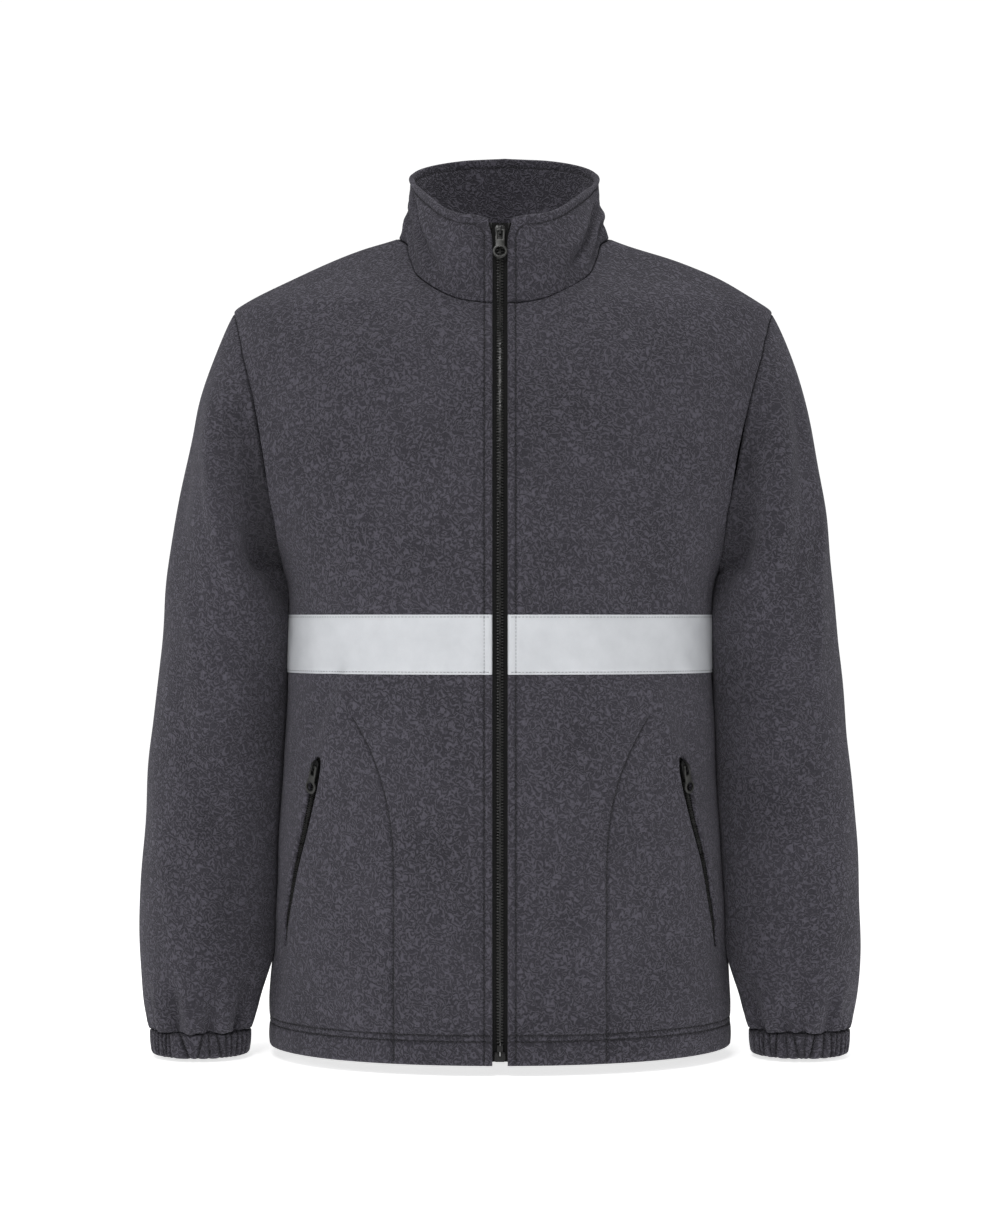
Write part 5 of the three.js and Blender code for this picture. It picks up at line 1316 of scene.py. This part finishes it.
def zip_y(z):
    """How far forward the cloth's face is on the front zip's line."""
    up = (z - NECK_FRONT_Z) / (COLLAR_TOP[0, 2] - NECK_FRONT_Z)
    on_collar = mix(NECK_BASE_Y, -COLLAR_TOP[0, 1], up) - 2.5 * np.sin(np.pi * np.clip(up, 0, 1))
    return np.where(z < NECK_FRONT_Z, body_point(1, np.minimum(z, NECK_FRONT_Z), 0)[..., 1], on_collar)


def zip_depth(z):
    """How far the tape lies behind the cloth's face: deeper where the hem is doubled."""
    return mix(DOUBLE_FLEECE, FLEECE, ease((z + 684) / 30)) + 0.8


def zip_place(x, z, depth):
    """A place beside the front zip's line, at a depth behind the tape's face, and the way out from it."""
    x, z, depth = np.broadcast_arrays(*(np.asarray(v, float) for v in (x, z, depth)))
    slope = (zip_y(z + 1) - zip_y(z - 1)) / 2
    outward = unit(np.stack([0 * z, -1 + 0 * z, slope], -1))
    line = np.stack([x, zip_y(z), z], -1)
    middle = line * (0, 1, 1)
    return line + outward * (swell(middle) - zip_depth(z) - depth)[..., None], outward


def zip_teeth(name, line, outward, pitch, scale, thickness, seed):
    """Two rows of moulded teeth that meet along a line. The line is on the teeth's faces."""
    spread = np.random.RandomState(seed)
    run = np.concatenate([[0], np.cumsum(np.linalg.norm(np.diff(line, axis=0), axis=-1))])
    half = len(TOOTH)
    plan = np.concatenate([TOOTH, TOOTH[::-1] * (1, -1)]) * scale
    inset = np.concatenate(
        [TOOTH * (0.9, 0.72) + (0.05, 0), (TOOTH * (0.9, 0.72) + (0.05, 0))[::-1] * (1, -1)]
    ) * scale
    rings = [(plan, thickness), (plan, 0.32), (inset, 0.0)]
    verts, faces, count = [], [], 0
    for row in (-1, 1):
        middles = np.arange(pitch * (0.5 if row < 0 else 1.0), run[-1] - pitch * 0.5, pitch)
        for middle in middles:
            at = [np.interp(middle, run, line[:, k]) for k in range(3)]
            ahead = np.array([np.interp(middle + 1, run, line[:, k]) - np.interp(middle - 1, run, line[:, k])
                              for k in range(3)])
            out_of = unit(np.array([np.interp(middle, run, outward[:, k]) for k in range(3)]))
            ahead = unit(ahead)
            across = np.cross(out_of, ahead)
            tilt = spread.uniform(-0.07, 0.07, 2)
            jog = spread.uniform(-0.05, 0.05)
            for shape, depth in rings:
                x, z = -row * shape[:, 0:1], shape[:, 1:2] + jog
                sink = depth - (x * tilt[0] + z * tilt[1]) * (depth < 0.5)
                verts.append(np.array(at) + across * x + ahead * z - out_of * sink)
            ring = 2 * half
            k = np.arange(ring)
            for level in (0, 1):
                low, high = count + level * ring, count + (level + 1) * ring
                quad = np.stack([low + k, low + (k + 1) % ring, high + (k + 1) % ring, high + k], -1)
                faces += (quad if row > 0 else quad[:, ::-1]).tolist()
            cap, back = list(range(count + 2 * ring, count + 3 * ring)), list(range(count, count + ring))
            faces += [cap if row > 0 else cap[::-1], back[::-1] if row > 0 else back]
            count += 3 * ring
    mesh = bpy.data.meshes.new(name)
    mesh.from_pydata((np.concatenate(verts) / 1000).tolist(), [], faces)
    mesh.shade_smooth()
    mesh.set_sharp_from_angle(angle=math.radians(50))
    piece = bpy.data.objects.new(name, mesh)
    bpy.context.scene.collection.objects.link(piece)
    piece.data.materials.append(moulded)
    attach(piece, "jacket")
    return piece


def rounded_outline(corners, steps=6):
    """A closed outline with its corners rounded: each corner is across, up, radius."""
    points = []
    for i, (x, z, radius) in enumerate(corners):
        here = np.array((x, z), float)
        before, after = np.array(corners[i - 1][:2], float), np.array(
            corners[(i + 1) % len(corners)][:2], float
        )
        back, ahead = unit(before - here), unit(after - here)
        half = math.acos(np.clip(back @ ahead, -1, 1)) / 2
        if radius == 0 or half > 1.55:
            points.append(here)
            continue
        reach = min(
            radius / math.tan(half), 0.49 * np.linalg.norm(before - here),
            0.49 * np.linalg.norm(after - here)
        )
        start, end = here + back * reach, here + ahead * reach
        for t in np.linspace(0, 1, steps):
            points.append((1 - t) ** 2 * start + 2 * t * (1 - t) * here + t**2 * end)
    return points


def plate(outlines, front, thickness, bevel):
    """A flat metal part with rounded edges, its face at a depth: points and faces in the part's own frame."""
    flat = bpy.data.curves.new("outline", "CURVE")
    flat.dimensions = "2D"
    flat.fill_mode = "BOTH"
    flat.extrude = thickness / 2 - bevel
    flat.bevel_depth = bevel
    flat.bevel_resolution = 2
    flat.offset = -bevel
    for outline in outlines:
        spline = flat.splines.new("POLY")
        spline.points.add(len(outline) - 1)
        spline.use_cyclic_u = True
        for k, (x, z) in enumerate(outline):
            spline.points[k].co = (x, z, 0, 1)
    drawn = bpy.data.objects.new("outline", flat)
    bpy.context.scene.collection.objects.link(drawn)
    made = bpy.data.meshes.new_from_object(drawn.evaluated_get(bpy.context.evaluated_depsgraph_get()))
    form = bmesh.new()
    form.from_mesh(made)
    bmesh.ops.remove_doubles(form, verts=form.verts, dist=1e-4)
    bmesh.ops.recalc_face_normals(form, faces=form.faces)
    points = np.array([(v.co.x, -v.co.z + front + thickness / 2, v.co.y) for v in form.verts])
    form.verts.index_update()
    faces = [[v.index for v in face.verts] for face in form.faces]
    form.free()
    bpy.data.objects.remove(drawn)
    bpy.data.curves.remove(flat)
    bpy.data.meshes.remove(made)
    return points, faces


def hardware(name, parts, basis, origin, body, replaced, finish):
    """Metal parts drawn in one frame, joined to one piece and put in place."""
    verts, faces, count = [], [], 0
    for points, part_faces in parts:
        verts.append(points)
        faces += [[count + k for k in face] for face in part_faces]
        count += len(points)
    points = (np.concatenate(verts) @ np.array(basis) + np.array(origin)) / 1000
    mesh = bpy.data.meshes.new(name)
    mesh.from_pydata(points.tolist(), [], faces)
    mesh.shade_smooth()
    mesh.set_sharp_from_angle(angle=math.radians(40))
    piece = bpy.data.objects.new(name, mesh)
    bpy.context.scene.collection.objects.link(piece)
    piece.data.materials.append(finish)
    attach(piece, body)
    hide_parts(replaced)
    return piece


for side, word in ((-1, "right"), (1, "left")):
    z = np.linspace(-704, 4, 203)[:, None]
    x = np.array([0.2, 0.55, 1.1, 1.7, 2.3, 2.7, 3.2, 4.2, 5.6, 7.4, 9.4, 11.4, TAPE_REACH])[None]
    cord = 0.18 * np.exp(-(((x - 1.4) / 0.9) ** 2))
    outer, outward = zip_place(side * x, z, -cord + 0.07 * np.sin(z / 2.1) * (x > 3))
    tape = cloth(f"tape_front_zip_{word}", outer, outer - outward * TAPE_THICKNESS)
    tape.data.materials.append(zip_tape)
    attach(tape, "jacket")
    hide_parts(f"zip_tape_{word}")
z = np.linspace(TEETH_Z[0], TEETH_Z[1], 260)
line, outward = zip_place(0 * z, z, 0 * z - SEAM_GAP - CHAIN_THICKNESS)
teeth = zip_teeth("teeth_front_zip", line, outward, TOOTH_PITCH, 1.0, CHAIN_THICKNESS, 7)
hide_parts("zip_chain")

PULL_LENGTH = 24.5
PULL_THICKNESS = 1.5
RING_WIDTH = 12.2
RING_Z = -PULL_LENGTH + RING_WIDTH / 2
PLATE_OFFSET = 1.4
FRONT_HINGE = ((0, -80.43, -3.64), (-1, 0, 0), (0, 0.1247, 0.9922))


def hinge_basis(axis, up):
    """A slider's own frame: across, into the cloth, and up along the zip."""
    across = -unit(np.array(axis, float))
    into = unit(np.cross(np.array(up, float), across))
    return np.array([across, into, np.cross(across, into)])


def pull_parts():
    """The pull: a flat tab with a window that takes the slider's bridge, and a ring at its end."""
    ring = [(0.5 * RING_WIDTH * math.cos(a), RING_Z + 0.5 * RING_WIDTH * math.sin(a))
            for a in np.radians(np.linspace(50, -230, 40))]
    body = rounded_outline([(-4.4, 0.75, 1.3), (4.4, 0.75, 1.3), (4.1, -5.5, 3), (3.9, -9.5, 4)])
    outline = [*body[:-6], (3.92, -9.2), (3.9, -11.0), *ring, (-3.9, -11.0), (-3.92, -9.2), (-4.1, -5.5)]
    window = rounded_outline([(-2.2, -0.75, 0.5), (-2.2, -8, 1.1), (2.2, -8, 1.1), (2.2, -0.75, 0.5)])
    eye = [(4.35 * math.cos(a), RING_Z + 3.75 * math.sin(a)) for a in np.radians(np.arange(0, 360, 10))]
    lip = [(4.95 * math.cos(a), RING_Z + 4.4 * math.sin(a)) for a in np.radians(np.arange(0, 360, 10))]
    tab = plate([outline, window, eye], -PULL_THICKNESS / 2, PULL_THICKNESS, 0.42)
    rim = plate([lip, eye], -PULL_THICKNESS / 2 - 0.22, PULL_THICKNESS + 0.44, 0.28)
    return [tab, rim]


def arch_part(width):
    """The slider's bridge: a bowed strap whose window holds the pull's bar."""
    outer = [(PLATE_OFFSET + 0.5, -4.4), (-0.7, -3.9), (-1.8, -3.1), (-2.45, -2.0), (-2.6, -0.9), (-2.6, 0.9),
             (-2.45, 1.9), (-1.8, 2.9), (-0.7, 3.6), (PLATE_OFFSET + 0.5, 4.0)]
    inner = [(PLATE_OFFSET + 0.5, -2.7), (0.2, -2.5), (-0.9, -1.8), (-1.45, -0.9), (-1.5, 0.0), (-1.45, 0.9),
             (-0.9, 1.7), (0.2, 2.3), (PLATE_OFFSET + 0.5, 2.5)]
    strap = outer + inner[::-1]
    points, faces = plate([strap], 0, width, 0.3)
    return np.stack([points[:, 1] - width / 2, points[:, 0], points[:, 2]], -1), faces


def slider_parts(depth, width):
    """The slider: a front plate on two side walls, which part round the middle post, and the bridge."""
    half = width / 2
    face = rounded_outline([
        (-0.74 * half, -11, 1.2), (0.74 * half, -11, 1.2), (0.86 * half, -4, 4), (half, 2.5, 1.6),
        (0.66 * half, 5, 1.4),
        (0.2 * half, 4.4, 0.8), (-0.2 * half, 4.4, 0.8), (-0.66 * half, 5, 1.4), (-half, 2.5, 1.6),
        (-0.86 * half, -4, 4),
    ])
    parts = [plate([face], PLATE_OFFSET, 1.5, 0.45)]
    boss = rounded_outline([(-1.6, -5.6, 0.8), (1.6, -5.6, 0.8), (1.6, 4.2, 0.8), (-1.6, 4.2, 0.8)])
    parts.append(plate([boss], PLATE_OFFSET - 0.35, 1.0, 0.25))
    for side in (-1, 1):
        wall = [
            (side * x * half, z) for x,
            z in ((0.74, -10.6), (0.86, -4), (0.985, 2.3), (0.8, 3.2), (0.66, -3.6), (0.5, -10.6))
        ]
        parts.append(plate([wall if side < 0 else wall[::-1]], PLATE_OFFSET + 1.0, depth - 1.0, 0.2))
    post = rounded_outline([(-0.3 * half, 4.6, 0.8), (0.3 * half, 4.6, 0.8), (0, -2.5, 0.5)])
    parts.append(plate([post], PLATE_OFFSET + 1.0, depth - 1.0, 0.25))
    return parts + [arch_part(2.0)]


slider_depth = 2.9 - PLATE_OFFSET + float(zip_depth(-4.0)) - 2 * SEAM_GAP
hinge, axis, up = FRONT_HINGE
basis = hinge_basis(axis, up)
hardware(
    "slider_front_zip", slider_parts(slider_depth, 9.2), basis, hinge, "jacket", "zip_slider", black_enamel
)
hardware("pull_front_zip", pull_parts(), basis, hinge, "front_pull", "zip_pull", gunmetal)

for side, word in ((-1, "right"), (1, "left")):
    place, outward = zip_place(7.5 * side, 1.0, -SEAM_GAP - 1.8)
    clip = rounded_outline([(-0.9, -2.25, 0.7), (0.9, -2.25, 0.7), (0.9, 2.25, 0.8), (-0.9, 2.25, 0.8)])
    bead = rounded_outline([(-0.65, -1.3, 0.6), (0.65, -1.3, 0.6), (0.65, 1.3, 0.6), (-0.65, 1.3, 0.6)])
    hardware(f"stop_{word}", [plate([clip], 0, 1.8, 0.5), plate([bead], -0.25, 0.6, 0.25)],
             np.eye(3), place, "jacket", f"zip_stop_{word}", black_enamel)
place, outward = zip_place(0.0, -699.5, -SEAM_GAP - 2.2)
box = [(-4.7, -3.2, 0.9), (-3.5, -4, 0.5), (3.5, -4, 0.5), (4.7, -3.2, 0.9), (4.7, 4, 1.0),
       (0.7, 4, 0.7), (0.45, 0.6, 0.3),
       (-0.45, 0.6, 0.3), (-0.7, 4, 0.7), (-4.7, 4, 1.0)]
lobe = [plate([rounded_outline([(x - 1.5, 0.6, 0.9), (x + 1.5, 0.6, 0.9),
                                (x + 1.5, 3.4, 1.2), (x - 1.5, 3.4, 1.2)])],
              -0.3, 0.8, 0.3) for x in (-2.7, 2.7)]
foot = plate(
    [rounded_outline([(-3.4, -3.7, 0.4), (3.4, -3.7, 0.4), (3.4, -0.4, 0.4), (-3.4, -0.4, 0.4)])], -0.25,
    0.9, 0.25
)
pin = plate(
    [rounded_outline([(-2.6, 4.2, 0.5), (2.6, 4.2, 0.5), (2.6, 9.8, 0.5), (-2.6, 9.8, 0.5)])], 0.2, 1.9, 0.4
)
hardware("retainer_front_zip", [plate([rounded_outline(box)], 0, 2.2, 0.4), *lobe, foot, pin],
         np.eye(3), place, "jacket", "zip_retainer", black_enamel)

# The pocket zips: the same zip in a smaller size, closed at both ends, sewn behind the slit in each front.
# The slit gapes a little at the top, where the slider stands, and closes over the zip towards the bottom.
POCKET_CHAIN_WIDTH = 4.6
POCKET_TOOTH_PITCH = 2.1
POCKET_HINGES = {
    -1: ((-158.04, -93.75, -459.59), (-0.68669, 0.67588, 0.26764), (0.1383, -0.2400, 0.9609)),
    1: ((157.81, -93.43, -459.49), (-0.64451, -0.71374, -0.27417), (-0.1540, -0.2301, 0.9609)),
}


def pocket_place(side, run, across, depth):
    """A place on the pocket zip: run from its top to its bottom end, and so far across it."""
    run, across, depth = np.broadcast_arrays(*(np.asarray(v, float) for v in (run, across, depth)))
    z = mix(POCKET["top_z"], POCKET["bottom_z"], run)
    angle = mix(POCKET["top_angle"], POCKET["bottom_angle"], run) + np.degrees(across / BODY_REACH)
    return on_body(side, 0, z, angle, -depth)


for side, word in ((-1, "right"), (1, "left")):
    run = np.linspace(-7 / 170, 1 + 7 / 170, 66)[:, None]
    across = np.array(
        [
            -10, -8, -6, -4.6, -3.4, -2.6, -1.8, -1.1, -0.5, -0.12, 0.12, 0.5, 1.1, 1.8, 2.6, 3.4, 4.6, 6,
            8, 10.0
        ]
    )[None]
    cord = 0.16 * np.exp(-(((np.abs(across) - 1.2) / 0.8) ** 2)) - 0.3 * np.exp(-((across / 0.2) ** 2))
    outer, outward = pocket_place(side, run, across, POCKET_TAPE_DEPTH - cord)
    tape = cloth(f"tape_pocket_zip_{word}", outer, outer - outward * TAPE_THICKNESS)
    tape.data.materials.append(zip_tape)
    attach(tape, "jacket")
    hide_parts(f"pocket_tape_{word}")
    run = np.linspace(1 - 1.5 / 170, 0.118 + 1.5 / 170, 90)
    line, outward = pocket_place(side, run, 0 * run, 0 * run + POCKET_TAPE_DEPTH - SEAM_GAP - CHAIN_THICKNESS)
    teeth = zip_teeth(f"teeth_pocket_zip_{word}", line, outward, POCKET_TOOTH_PITCH, POCKET_CHAIN_WIDTH / 5.8,
                      CHAIN_THICKNESS, 11 + side)
    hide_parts(f"pocket_chain_{word}")
    hinge, axis, up = POCKET_HINGES[side]
    basis = hinge_basis(axis, up)
    slider_depth = 2.9 - PLATE_OFFSET + POCKET_TAPE_DEPTH - 3 * SEAM_GAP
    hardware(f"slider_pocket_{word}", slider_parts(slider_depth, 7.2), basis, hinge,
             "jacket", f"pocket_{word}_slider", black_enamel)
    hardware(
        f"pull_pocket_{word}", pull_parts(), basis, hinge, f"pocket_{word}_pull", f"pocket_{word}_pull",
        gunmetal
    )

low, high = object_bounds()
